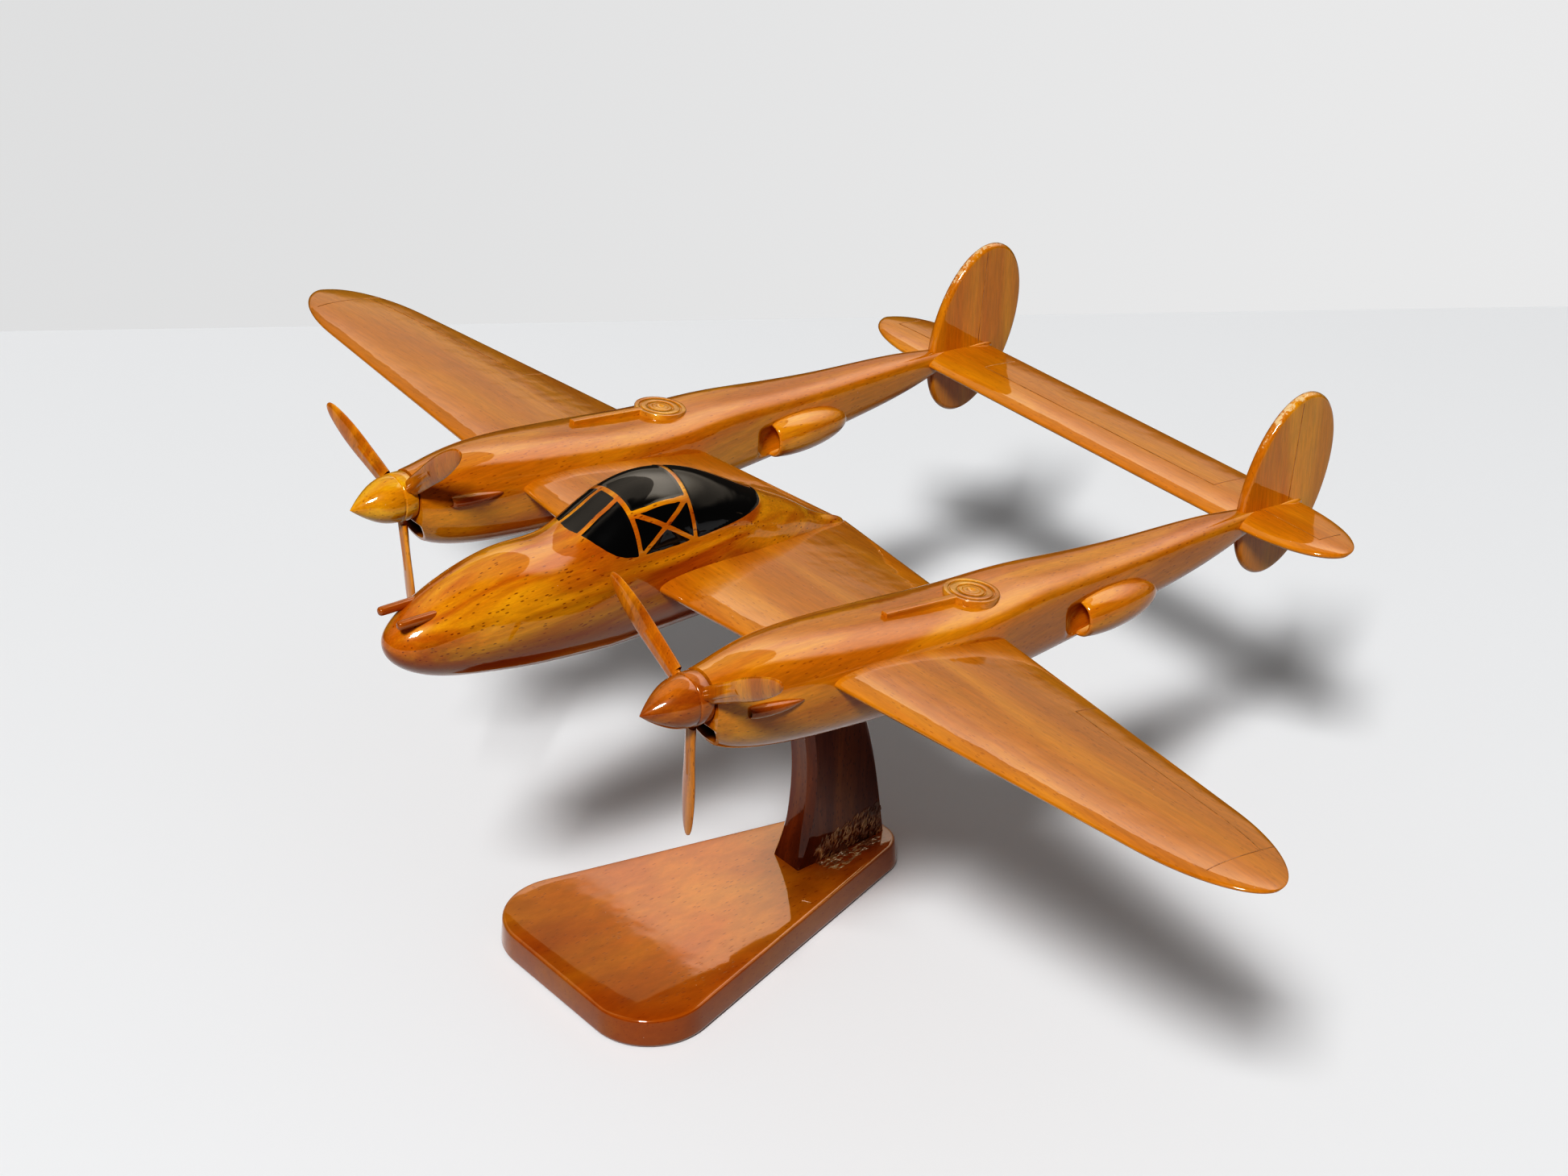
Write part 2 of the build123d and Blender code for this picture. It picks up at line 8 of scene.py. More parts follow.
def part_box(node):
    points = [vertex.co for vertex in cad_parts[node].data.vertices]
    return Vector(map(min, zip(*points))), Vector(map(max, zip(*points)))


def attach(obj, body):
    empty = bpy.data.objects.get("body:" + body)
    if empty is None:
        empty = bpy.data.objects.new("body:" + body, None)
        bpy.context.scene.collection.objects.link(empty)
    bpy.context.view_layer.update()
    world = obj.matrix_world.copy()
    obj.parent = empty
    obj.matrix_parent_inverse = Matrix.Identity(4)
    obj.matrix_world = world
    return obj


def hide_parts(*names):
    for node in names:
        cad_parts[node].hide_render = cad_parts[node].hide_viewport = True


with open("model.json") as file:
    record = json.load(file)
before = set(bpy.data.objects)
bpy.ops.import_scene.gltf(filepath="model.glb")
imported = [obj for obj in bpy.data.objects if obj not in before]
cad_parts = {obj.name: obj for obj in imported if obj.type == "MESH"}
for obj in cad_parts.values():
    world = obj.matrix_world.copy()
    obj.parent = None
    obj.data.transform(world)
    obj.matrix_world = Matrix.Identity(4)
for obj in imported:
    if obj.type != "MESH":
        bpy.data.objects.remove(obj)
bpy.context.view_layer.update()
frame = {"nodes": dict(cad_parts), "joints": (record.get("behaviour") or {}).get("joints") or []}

# ---------------------------------------------------------------- centre pod
# The pod is one block of wood carved to a blunt nose and a long pointed tail, canopy and all. Its
# panes are black gloss paint, with the frame bars between them left as bare wood under the lacquer.
pod_stations = [
    (-28.6, 0.0, -2.2, -2.2, 2.0), (-28.4, 1.3, -0.9, -3.6, 2.0), (-27.8, 3.0, 0.4, -5.2, 2.0),
    (-25.6, 5.6, 2.6, -7.8, 2.0), (-21.6, 8.1, 5.2, -10.4, 2.0), (-14.8, 10.4, 8.6, -13.0, 2.05),
    (-5.0, 12.5, 11.8, -15.0, 2.1), (8.0, 14.0, 13.9, -17.0, 2.15), (22.0, 14.5, 14.4, -18.3, 2.2),
    (30.0, 14.4, 18.2, -18.9, 2.35), (38.0, 14.2, 22.0, -19.2, 2.4), (46.0, 14.0, 23.7, -19.4, 2.3),
    (54.0, 13.7, 23.0, -19.5, 2.2), (62.0, 13.0, 20.5, -19.5, 2.15), (72.0, 11.6, 15.4, -19.1, 2.1),
    (83.0, 9.2, 9.2, -18.0, 2.1), (95.0, 5.9, 2.4, -16.0, 2.1), (105.0, 2.9, -3.8, -13.6, 2.0),
    (112.2, 0.9, -7.6, -11.6, 2.0), (112.7, 0.0, -9.6, -9.6, 2.0),
]
pod_around = 256
pane_recess = 0.1            # how far the painted panes lie below the bars
bar_half_width = 0.62
shaft = next(joint for joint in frame["joints"] if joint["name"] == "propeller_port_spin")
spinner_tip = [value * 1000 for value in shaft["pos_m"]]
pitch = math.atan2(-shaft["axis"][2], shaft["axis"][1])


def seated(points):
    """Points of the level aircraft in millimetres, pitched and set on the stand, in metres."""
    points = np.asarray(points, float)
    x, y, z = points[..., 0], points[..., 1], points[..., 2]
    aft = y * math.cos(pitch) + z * math.sin(pitch) + spinner_tip[1]
    up = -y * math.sin(pitch) + z * math.cos(pitch) + spinner_tip[2]
    return np.stack([x, aft, up], -1) / 1000


def angles(count, start=0.0):
    """Even angles once round."""
    return start + 2 * math.pi * np.arange(count) / count


def faired(stations, steps=4000):
    """A fair curve through a table of stations, by distance along it."""
    knots = np.array(stations, float)
    steps_apart = np.linalg.norm(np.diff(knots[:, :4], axis=0), axis=1)
    run = np.concatenate([[0.0], np.cumsum(steps_apart)])
    gap, count = np.diff(run), len(run)
    rule, pull = np.eye(count), np.zeros((count, knots.shape[1]))
    for i in range(1, count - 1):
        rule[i, i - 1:i + 2] = gap[i - 1], 2 * (gap[i - 1] + gap[i]), gap[i]
        pull[i] = 6 * ((knots[i + 1] - knots[i]) / gap[i] - (knots[i] - knots[i - 1]) / gap[i - 1])
    bend = np.linalg.solve(rule, pull)
    at = np.linspace(0, run[-1], steps)
    i = np.clip(np.searchsorted(run, at, side="right") - 1, 0, count - 2)
    far, near = ((at - run[i]) / gap[i])[:, None], ((run[i + 1] - at) / gap[i])[:, None]
    curve = near * knots[i] + far * knots[i + 1]
    return curve + ((near ** 3 - near) * bend[i] + (far ** 3 - far) * bend[i + 1]) * (gap[i] ** 2)[:,
        None] / 6


def thinned(table, step):
    """Rows of a fair curve about step(place) millimetres apart."""
    run = np.concatenate([[0.0], np.cumsum(np.linalg.norm(np.diff(table[:, :4], axis=0), axis=1))])
    rows = [0]
    for i in range(len(table)):
        if run[i] - run[rows[-1]] >= step(table[i, 0]):
            rows.append(i)
    return table[rows + [len(table) - 1]] if rows[-1] < len(table) - 1 else table[rows]


def outlines(rows, around):
    """Rounded-square outlines across the body, one ring for each row, starting at the keel."""
    y, half, top, bottom, square = (column[:, None] for column in rows.T)
    angle = angles(around, -math.pi / 2)[None, :]
    side = np.sign(np.cos(angle)) * np.abs(np.cos(angle)) ** (2 / square)
    lift = np.sign(np.sin(angle)) * np.abs(np.sin(angle)) ** (2 / square)
    return np.stack([half * side, y + 0 * angle, (top + bottom) / 2 + (top - bottom) / 2 * lift], -1)


def shown(name, data):
    """A new object, at the origin."""
    piece = bpy.data.objects.new(name, data)
    bpy.context.scene.collection.objects.link(piece)
    return piece


def skinned(name, rings, material, sharp=40, marks=None):
    """A closed skin over rings of points, its two ends drawn in to a point, faces outwards."""
    rings = np.asarray(rings, float)
    count, around = rings.shape[:2]
    points = np.concatenate([rings.reshape(-1, 3), [rings[0].mean(0)], [rings[-1].mean(0)]])
    index = np.arange(count * around).reshape(count, around)
    near, far = index[:-1], index[1:]
    quads = np.stack([near, np.roll(near, -1, 1), np.roll(far, -1, 1), far], -1).reshape(-1, 4)
    first, last = index[0], index[-1]
    tips = np.concatenate([
        np.stack([np.full(around, len(points) - 2), np.roll(first, -1), first], -1),
        np.stack([np.full(around, len(points) - 1), last, np.roll(last, -1)], -1)])
    a, b, c = (points[np.concatenate([quads[:, [0, i, i + 1]] for i in (1, 2)] + [tips])[:, k]]
        for k in range(3))
    inside_out = np.einsum("ij,ij->", a, np.cross(b, c)) < 0
    faces = quads.tolist() + tips.tolist()
    if inside_out:
        faces = [face[::-1] for face in faces]
    mesh = bpy.data.meshes.new(name)
    mesh.from_pydata(points.tolist(), [], faces)
    mesh.polygons.foreach_set("use_smooth", np.ones(len(faces), bool))
    mesh.set_sharp_from_angle(angle=math.radians(sharp))
    for mark, values in (marks or {}).items():
        values = np.broadcast_to(np.asarray(values, float), (count, around))
        values = np.concatenate([values.reshape(-1), [values[0].mean()], [values[-1].mean()]])
        mesh.attributes.new(mark, "FLOAT", "POINT").data.foreach_set("value", values.astype(np.float32))
    mesh.materials.append(material)
    return shown(name, mesh)


def joined(piece, *nodes, body="aircraft", slot="airframe_wood"):
    """Puts a finished piece on its body, in place of its CAD nodes."""
    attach(piece, body)
    if nodes:
        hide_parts(*nodes)
    return piece


def node(tree, kind, sockets=None, **settings):
    """One node, with its settings, and values or links for its sockets."""
    made = tree.nodes.new(kind)
    for key, value in settings.items():
        setattr(made, key, value)
    for key, value in (sockets or {}).items():
        if isinstance(value, bpy.types.NodeSocket):
            tree.links.new(value, made.inputs[key])
        else:
            made.inputs[key].default_value = value
    return made


def blended(tree, share, first, second, way="MIX"):
    """One colour laid over another."""
    return node(tree, "ShaderNodeMix", {0: share, 6: first, 7: second}, data_type="RGBA",
        blend_type=way).outputs[2]


def ramped(tree, value, low, high, start=0.0, end=1.0):
    """A value taken smoothly from one range to another."""
    return node(tree, "ShaderNodeMapRange", {"Value": value, "From Min": low, "From Max": high,
        "To Min": start, "To Max": end}, interpolation_type="SMOOTHSTEP").outputs[0]


def summed(tree, way, first, second, third=0.0):
    """Arithmetic on two or three values."""
    return node(tree, "ShaderNodeMath", {0: first, 1: second, 2: third}, operation=way).outputs[0]


def noise(tree, place, scale, detail=4.0, roughness=0.5, distortion=0.0):
    """A cloudy pattern from 0 to 1."""
    return node(tree, "ShaderNodeTexNoise", {"Vector": place, "Scale": scale, "Detail": detail,
                                             "Roughness": roughness, "Distortion": distortion}).outputs[0]


def along(tree, vector, direction):
    """How far a vector reaches in a direction."""
    return node(tree, "ShaderNodeVectorMath", {0: vector, 1: direction},
        operation="DOT_PRODUCT").outputs["Value"]


def scaled(tree, vector, by):
    """A vector made longer or shorter."""
    return node(tree, "ShaderNodeVectorMath", {0: vector, "Scale": by}, operation="SCALE").outputs[0]


def grey(tree, value):
    """A value as a colour."""
    return node(tree, "ShaderNodeCombineColor", {0: value, 1: value, 2: value}).outputs[0]


def effect(name, inputs, outputs):
    """An empty shader group with named inputs and outputs."""
    tree = bpy.data.node_groups.new(name, "ShaderNodeTree")
    for label, kind, value in inputs:
        socket = tree.interface.new_socket(name=label, in_out="INPUT", socket_type="NodeSocket" + kind)
        socket.default_value = value
    for label, kind in outputs:
        tree.interface.new_socket(name=label, in_out="OUTPUT", socket_type="NodeSocket" + kind)
    return tree, tree.nodes.new("NodeGroupInput").outputs, tree.nodes.new("NodeGroupOutput").inputs


# The grain of the wood: streaks, fine fibres, a slow change of tone, short dark pores along the grain, and
# small bright specks painted in as glints.
grain_tree, grain_in, grain_out = effect("wood grain", [
    ("Place", "Vector", (0, 0, 0)), ("Light", "Color", (1, 1, 1, 1)),
    ("Middle", "Color", (1, 1, 1, 1)), ("Dark", "Color", (1, 1, 1, 1)),
    ("Even", "Vector", (0, 0, 0)), ("Along", "Vector", (0, 1, 0)),
    ("Streaks", "Float", 1.0), ("Figure", "Float", 0.6), ("Pores", "Float", 0.5)],
    [("Color", "Color"), ("Height", "Float")])
streak = noise(grain_tree, grain_in["Place"], 0.34, 5.0, 0.5, 0.9)
figure = noise(grain_tree, grain_in["Place"], 0.16, 3.0, 0.6, 1.4)
fibre = noise(grain_tree, grain_in["Place"], 5.0, 3.0, 0.7)
lit = summed(grain_tree, "MULTIPLY", ramped(grain_tree, streak, 0.38, 0.76), grain_in["Streaks"])
wood = blended(grain_tree, lit, grain_in["Middle"], grain_in["Light"])
figured = ramped(grain_tree, figure, 0.46, 0.74, 0.0, grain_in["Figure"])
wood = blended(grain_tree, figured, wood, grain_in["Dark"])
tone = ramped(grain_tree, fibre, 0.3, 0.72, 0.88, 1.08)
wood = blended(grain_tree, 1.0, wood, grey(grain_tree, tone), "MULTIPLY")
lengthwise = along(grain_tree, grain_in["Even"], grain_in["Along"])
drawn_out = scaled(grain_tree, grain_in["Along"], summed(grain_tree, "MULTIPLY", lengthwise, -0.72))
fleck_place = node(grain_tree, "ShaderNodeVectorMath", {0: grain_in["Even"], 1: drawn_out},
    operation="ADD").outputs[0]
cell = node(grain_tree, "ShaderNodeTexVoronoi", {"Vector": fleck_place, "Scale": 1.5, "Randomness": 1.0})
chosen = node(grain_tree, "ShaderNodeSeparateColor", {0: cell.outputs["Color"]}).outputs
crowd = ramped(grain_tree, figure, 0.38, 0.6, 0.62, 0.15)
kept = summed(grain_tree, "SUBTRACT", chosen[0], crowd)
reach = summed(grain_tree, "MULTIPLY", ramped(grain_tree, kept, 0.0, 0.4), 0.3)
pore = ramped(grain_tree, summed(grain_tree, "SUBTRACT", reach, cell.outputs["Distance"]), -0.02, 0.12)
pore = summed(grain_tree, "MULTIPLY", pore, grain_in["Pores"])
pore_tone = blended(grain_tree, 1.0, grain_in["Dark"], (0.62, 0.5, 0.5, 1), "MULTIPLY")
wood = blended(grain_tree, pore, wood, pore_tone)
# Painted highlight: small bright specks in the light tone stand in for the wood's glints.
glint = summed(grain_tree, "MULTIPLY", ramped(grain_tree, cell.outputs["Distance"], 0.26, 0.05),
               ramped(grain_tree, chosen[1], 0.8, 0.95, 0.0, 0.55))
wood = blended(grain_tree, summed(grain_tree, "MULTIPLY", glint, grain_in["Pores"]), wood, grain_in["Light"])
grain_tree.links.new(wood, grain_out["Color"])
grain_tree.links.new(summed(grain_tree, "SUBTRACT", summed(grain_tree, "MULTIPLY", fibre, 0.25), pore),
    grain_out["Height"])

# The lacquer film: brushed on thick, so it is faintly wavy, with dust nibs and a few dull patches.
film_tree, film_in, film_out = effect("lacquer film", [
    ("Place", "Vector", (0, 0, 0)), ("Waves", "Float", 1.0), ("Dust", "Float", 1.0),
    ("Roughness", "Float", 0.3)],
    [("Height", "Float"), ("Nibs", "Float"), ("Roughness", "Float")])
wave = noise(film_tree, film_in["Place"], 0.1, 2.0, 0.45)
speck = node(film_tree, "ShaderNodeTexVoronoi", {"Vector": film_in["Place"], "Scale": 0.3, "Randomness": 1.0})
kept = node(film_tree, "ShaderNodeSeparateColor", {0: speck.outputs["Color"]}).outputs[1]
size = summed(film_tree, "MULTIPLY", ramped(film_tree, kept, 0.45, 1.0), 0.05)
nib = ramped(film_tree, summed(film_tree, "SUBTRACT", size, speck.outputs["Distance"]), 0.0, 0.02)
nib = summed(film_tree, "MULTIPLY", nib, film_in["Dust"])
dull = noise(film_tree, film_in["Place"], 0.045, 3.0)
film_tree.links.new(summed(film_tree, "ADD", summed(film_tree, "MULTIPLY", wave, film_in["Waves"]),
                           summed(film_tree, "MULTIPLY", nib, 0.12)), film_out["Height"])
film_tree.links.new(nib, film_out["Nibs"])
dulled = summed(film_tree, "ADD", film_in["Roughness"], ramped(film_tree, dull, 0.5, 0.8, 0.0, 0.12))
film_tree.links.new(dulled, film_out["Roughness"])

# Worn edges: where a thin rim has been rubbed through, in ragged chips, to paler dry wood.
wear_tree, wear_in, wear_out = effect("worn edge", [
    ("Place", "Vector", (0, 0, 0)), ("Rim", "Float", 0.0), ("Amount", "Float", 0.5)],
    [("Chips", "Float")])
ragged = noise(wear_tree, wear_in["Place"], 0.55, 6.0, 0.75)
bite = summed(wear_tree, "ADD", ragged, summed(wear_tree, "MULTIPLY", wear_in["Rim"], wear_in["Amount"]))
at_rim = ramped(wear_tree, wear_in["Rim"], 0.1, 0.4)
bitten = ramped(wear_tree, bite, 0.98, 1.06)
wear_tree.links.new(summed(wear_tree, "MULTIPLY", bitten, at_rim), wear_out["Chips"])


def lacquered(name, light, middle, dark, scale, along_grain, turn=(0, 0, 0), streaks=1.0, pores=0.5,
        figure=0.6, waves=1.0, wear=0.35, hollow=(0.02, 0.008, 0.004, 1), gloss=0.3, shift=(0, 0, 0),
        paint=False):
    """Gloss lacquer over a stained hardwood. scale is (x, y, z) per metre, small along the grain."""
    material = bpy.data.materials.new(name)
    material.use_nodes = True
    tree = material.node_tree
    tree.nodes.clear()
    place = node(tree, "ShaderNodeTexCoord").outputs["Object"]
    run = node(tree, "ShaderNodeMapping", {"Vector": place, "Location": shift, "Rotation": turn,
        "Scale": scale})
    even = node(tree, "ShaderNodeMapping", {"Vector": place, "Scale": (1000, 1000, 1000)}).outputs[0]
    mark = lambda name: node(tree, "ShaderNodeAttribute", attribute_name=name).outputs["Fac"]
    grain = node(tree, "ShaderNodeGroup", {"Place": run.outputs[0], "Even": even, "Along": along_grain,
        "Light": (*light, 1), "Middle": (*middle, 1), "Dark": (*dark, 1), "Streaks": streaks,
        "Figure": figure, "Pores": pores}, node_tree=grain_tree)
    film = node(tree, "ShaderNodeGroup", {"Place": even, "Waves": waves, "Roughness": gloss},
        node_tree=film_tree)
    chips = node(tree, "ShaderNodeGroup", {"Place": even, "Rim": mark("rim"), "Amount": wear},
        node_tree=wear_tree)
    # The shade mark paints shade into the colour, blending it towards the dark tone: painted shade on the
    # pod's lower half and on the base's sides, and a darker front end on the base.
    shade = summed(tree, "MULTIPLY", mark("shade"), 0.75)
    colour = blended(tree, shade, grain.outputs["Color"], (*dark, 1))
    colour = blended(tree, chips.outputs["Chips"], colour, (0.8, 0.55, 0.3, 1))
    colour = blended(tree, mark("hollow"), colour, hollow)
    if paint:
        colour = blended(tree, ramped(tree, mark("pane"), -0.06, 0.04), colour, (0.004, 0.004, 0.0045, 1))
    colour = blended(tree, summed(tree, "MULTIPLY", film.outputs["Nibs"], 0.35), colour,
        (0.85, 0.75, 0.62, 1))
    depth = summed(tree, "MULTIPLY", grain.outputs["Height"], 0.03)
    height = summed(tree, "ADD", film.outputs["Height"], depth)
    bump = node(tree, "ShaderNodeBump", {"Strength": 0.5, "Distance": 0.00028, "Height": height})
    skin = node(tree, "ShaderNodeBsdfPrincipled", {
        "Base Color": colour, "Roughness": film.outputs["Roughness"], "Normal": bump.outputs[0], "IOR": 1.5,
        "Specular IOR Level": 0.1, "Coat Weight": 1.0, "Coat Roughness": 0.03, "Coat IOR": 1.52})
    tree.links.new(bump.outputs[0], skin.inputs["Coat Normal"])
    tree.links.new(skin.outputs[0], node(tree, "ShaderNodeOutputMaterial").inputs[0])
    return material


pod_wood = lacquered("pod wood", (0.86, 0.42, 0.014), (0.52, 0.14, 0.003), (0.24, 0.036, 0.001),
                     (380, 34, 380), (0, 1, 0), turn=(pitch, 0, 0), pores=0.75, paint=True)
pod_rows = thinned(faired(pod_stations), lambda y: 0.42 if 21 < y < 82 else 1.0)[1:-1]
pod_rings = outlines(pod_rows, pod_around)
steps_round = np.linalg.norm(np.diff(pod_rings, axis=1), axis=2)
from_keel = np.concatenate([np.zeros((len(pod_rings), 1)), np.cumsum(steps_round, axis=1)], axis=1)
from_ridge = from_keel - from_keel[:, pod_around // 2, None]


def unrolled(x, y, z):
    """Where a point of the pod's skin lies when the skin is laid flat: aft, and round from the ridge."""
    row = np.abs(pod_rows[:, 0] - y).argmin()
    column = np.hypot(pod_rings[row, :, 0] - x, pod_rings[row, :, 2] - z).argmin()
    return y, from_ridge[row, column]


def from_line(start, end, aside, aft):
    """Distance of every point of the flat skin from a straight line on it."""
    start, run = np.array(start), np.array(end) - np.array(start)
    share = np.clip(((aft - start[0]) * run[0] + (aside - start[1]) * run[1]) / (run @ run), 0, 1)
    return np.hypot(aft - start[0] - share * run[0], aside - start[1] - share * run[1])


canopy_half = [unrolled(*point) for point in ((0, 23.1, 13.6), (3.6, 24.0, 13.0), (9.2, 26.6, 11.6),
    (12.6, 30.5, 10.0), (13.4, 36.0, 9.3), (13.3, 45.0, 9.1), (13.0, 54.0, 9.0), (12.4, 62.0, 9.2),
    (11.6, 69.0, 9.6), (10.2, 75.0, 10.2), (7.4, 78.9, 10.8), (3.4, 80.2, 11.0), (0, 80.4, 11.0))]
canopy_edge = canopy_half + [(y, -aside) for y, aside in canopy_half[-2:0:-1]]
softened = []
for (y0, s0), (y1, s1) in zip(canopy_edge, canopy_edge[1:] + canopy_edge[:1]):
    softened += [(0.75 * y0 + 0.25 * y1, 0.75 * s0 + 0.25 * s1),
                 (0.25 * y0 + 0.75 * y1, 0.25 * s0 + 0.75 * s1)]
aft, aside = pod_rings[..., 1], from_ridge
to_edge = np.full(aft.shape, 1e9)
crossings = np.zeros(aft.shape, int)
for (y0, s0), (y1, s1) in zip(softened, softened[1:] + softened[:1]):
    to_edge = np.minimum(to_edge, from_line((y0, s0), (y1, s1), aside, aft))
    spans = (s0 > aside) != (s1 > aside)
    crossings += spans & (aft < (y1 - y0) * (aside - s0) / (s1 - s0 + 1e-12) + y0)
pane = np.where(crossings % 2 == 1, to_edge, -to_edge)


def bar(start, end):
    """A straight frame bar from one place to another, as short lines on the flat skin."""
    stops = [unrolled(*[a + (b - a) * t for a, b in zip(start, end)]) for t in (0, 0.25, 0.5, 0.75, 1)]
    return list(zip(stops, stops[1:]))


front_top, rear_top = (8.6, 36.0, 19.0), (9.4, 53.0, 19.4)
front_low, rear_low = (13.4, 36.0, 9.2), (13.0, 53.0, 9.0)
bars = []
for sign in (1, -1):
    for start, end in (((3.8, 23.6, 13.2), (3.5, 36.0, 21.6)), (front_top, rear_top), (front_top, rear_low),
                       (front_low, rear_top), (front_low, (0, 36.0, 22.0)), (rear_low, (0, 53.0, 23.5))):
        bars += bar((sign * start[0], *start[1:]), (sign * end[0], *end[1:]))
for start, end in bars:
    pane = np.minimum(pane, from_line(start, end, aside, aft) - bar_half_width)
pane = np.clip(pane, -1, 1)
sunk = np.clip(pane / 0.3, 0, 1)
middles = (pod_rows[:, 2] + pod_rows[:, 3])[:, None] / 2
inward = np.stack([pod_rings[..., 0], 0 * aft, pod_rings[..., 2] - middles], -1)
inward /= np.linalg.norm(inward, axis=-1, keepdims=True) + 1e-9
pod_rings = pod_rings - inward * (pane_recess * sunk ** 2 * (3 - 2 * sunk))[..., None]
# Painted shade: below a gently waving line, the lower half of the pod is darkened in its colour through the
# shade mark.
level = (pod_rings[..., 2] - pod_rows[:, 3][:, None]) / (pod_rows[:, 2] - pod_rows[:, 3])[:, None]
painted_lower_shade = np.clip((0.55 + 0.08 * np.sin(pod_rings[..., 1] / 9) - level) / 0.25, 0, 1)
joined(skinned("pod_carving", seated(pod_rings), pod_wood, marks={"pane": pane, "shade": painted_lower_shade}),
    "centre_pod")

# ---------------------------------------------------------------- nose guns
# Two thin turned dowels, rounded at the muzzle, glued in holes drilled side by side in the nose.
sides = (("port", 1), ("starboard", -1))
gun_radius, gun_offset, gun_height = 1.15, 4.2, 5.3


def turned(name, profile, material, place, around=72, sharp=35, marks=None):
    """A turned piece: a profile of (radius, height) spun about its axis and put in place."""
    angle = angles(around)
    radius, height = (np.array(column, float)[:, None] for column in zip(*profile))
    rings = np.stack([radius * np.cos(angle), radius * np.sin(angle), height + 0 * angle], -1)
    return skinned(name, place(rings), material, sharp, marks)


gun_wood = lacquered("gun dowel", (0.6, 0.204, 0.0156), (0.4, 0.096, 0.0052), (0.2, 0.036, 0.0026),
    (900, 60, 900), (0, 1, 0), pores=0.3)
for side, sign in sides:
    profile = [(0.01, -27.7), (0.45, -27.66), (0.85, -27.5), (1.08, -27.15), (gun_radius, -26.6),
        (gun_radius, -20), (gun_radius, -10.2), (0.01, -10)]
    place = lambda rings: seated(np.stack([rings[..., 0] + sign * gun_offset, rings[..., 2],
        rings[..., 1] + gun_height], -1))
    joined(turned(f"gun_dowel_{side}", profile, gun_wood, place, 40), f"gun_{side}", slot="dowel_wood")

# ---------------------------------------------------------------- booms
# Each boom is carved in one with its engine nacelle, square-shouldered in the middle and thin at the
# tail. The front is sawn off behind the spinner and hollowed into a chin intake, blackened inside.
half_spacing = spinner_tip[0]
boom_stations = [
    (17.2, 7.2, 6.8, -11.6, 2.1), (21.0, 8.4, 7.1, -14.0, 2.2), (27.0, 9.9, 7.9, -16.1, 2.3),
    (35.0, 11.3, 8.5, -17.4, 2.45), (48.0, 12.6, 8.0, -18.3, 2.7), (62.0, 13.0, 6.5, -18.9, 3.0),
    (80.0, 13.0, 4.2, -19.2, 3.5), (98.0, 12.4, 2.6, -19.1, 3.8), (115.0, 10.8, 2.5, -18.7, 3.9),
    (135.0, 9.0, 1.0, -17.6, 3.8), (160.0, 6.8, -0.6, -15.3, 3.6), (190.0, 4.2, -1.8, -10.9, 3.0),
    (211.0, 2.2, -3.3, -7.5, 2.2), (220.6, 0.8, -4.5, -5.9, 2.0), (221.0, 0.0, -5.2, -5.2, 2.0),
]
boom_around = 144
chin_start, chin_lean = -6.5, math.tan(math.radians(25))
run_in_place, run_in_height, run_in_depth = 130.8, -10.4, 2.2
boom_table = faired(boom_stations)
boom_wood = lacquered("boom wood", (0.76, 0.33, 0.012), (0.54, 0.165, 0.0045), (0.34, 0.07, 0.002),
    (340, 26, 340), (0, 1, 0), turn=(pitch, 0, 0), pores=0.45, figure=0.35, shift=(3, 1, 0))


def boom_at(y):
    """Half width, top, bottom and squareness of the boom, anywhere along it."""
    return [np.interp(y, boom_table[:, 0], boom_table[:, k]) for k in range(1, 5)]


def boom_skin():
    """The boom's rings about its own axis, the raked chin and the gouged run-ins included."""
    places = thinned(boom_table, lambda y: 0.75 if y < 40 or 122 < y < 142 else 1.5)[:-1, 0]
    angle = angles(boom_around, -math.pi / 2)
    power = lambda value, square: np.sign(value) * np.abs(value) ** (2 / square)

    def ring(y):
        half, top, bottom, square = boom_at(y)
        x = half * power(np.cos(angle), square)
        return x, (top + bottom) / 2 + (top - bottom) / 2 * power(np.sin(angle), square)

    front = places[0] + 0 * angle
    for _ in range(8):
        front = places[0] + np.clip(chin_start - ring(front)[1], 0, None) * chin_lean
    rings = []
    for y in places:
        share = np.clip((y - places[0]) / 30, 0, 1)
        y = y + (front - places[0]) * (1 - share)
        x, z = ring(y)
        hollow = np.clip(1 - ((z - run_in_height) / 4.6) ** 2, 0, 1)
        reach = np.where(y < run_in_place, (run_in_place - y) / 5.0, (y - run_in_place) / 7.0)
        hollow = run_in_depth * hollow * np.clip(1 - reach ** 2, 0, 1) ** 0.8
        rings.append(np.stack([x - np.sign(x) * hollow, y + 0 * x, z], -1))
    return np.array(rings)


def nacelle_face(edge):
    """The sawn front of the nacelle, from its edge in, with the chin hollowed behind a thin lip."""
    centre = np.array([0.0, edge[:, 1].min(), 0.0])
    rings, marks = [], []
    for share in np.concatenate([np.linspace(0.99, 0.45, 44), np.linspace(0.42, 0.05, 6)]):
        ring = centre + (edge - centre) * share
        ring[:, 1] = centre[1] + np.clip(chin_start - ring[:, 2], 0, None) * chin_lean
        lip = np.clip((1 - share) * np.linalg.norm(edge - centre, axis=1) - 1.0, 0, 1.0)
        low = np.clip((-6.9 - ring[:, 2]) / 0.9, 0, 1)
        deep = lip * low
        deep = deep ** 2 * (3 - 2 * deep)
        ring[:, 1] += 5.0 * deep
        rings.append(ring)
        marks.append(np.clip(deep * 2.2, 0, 1))
    return rings[::-1], marks[::-1]


for side, sign in sides:
    body = boom_skin()
    face, marks = nacelle_face(body[0])
    rings = np.concatenate([face, body])
    marks = np.concatenate([marks, np.zeros(body.shape[:2])])
    rings[..., 0] = sign * (rings[..., 0] + half_spacing)
    joined(skinned(f"boom_carving_{side}", seated(rings), boom_wood, marks={"hollow": marks}), f"boom_{side}")

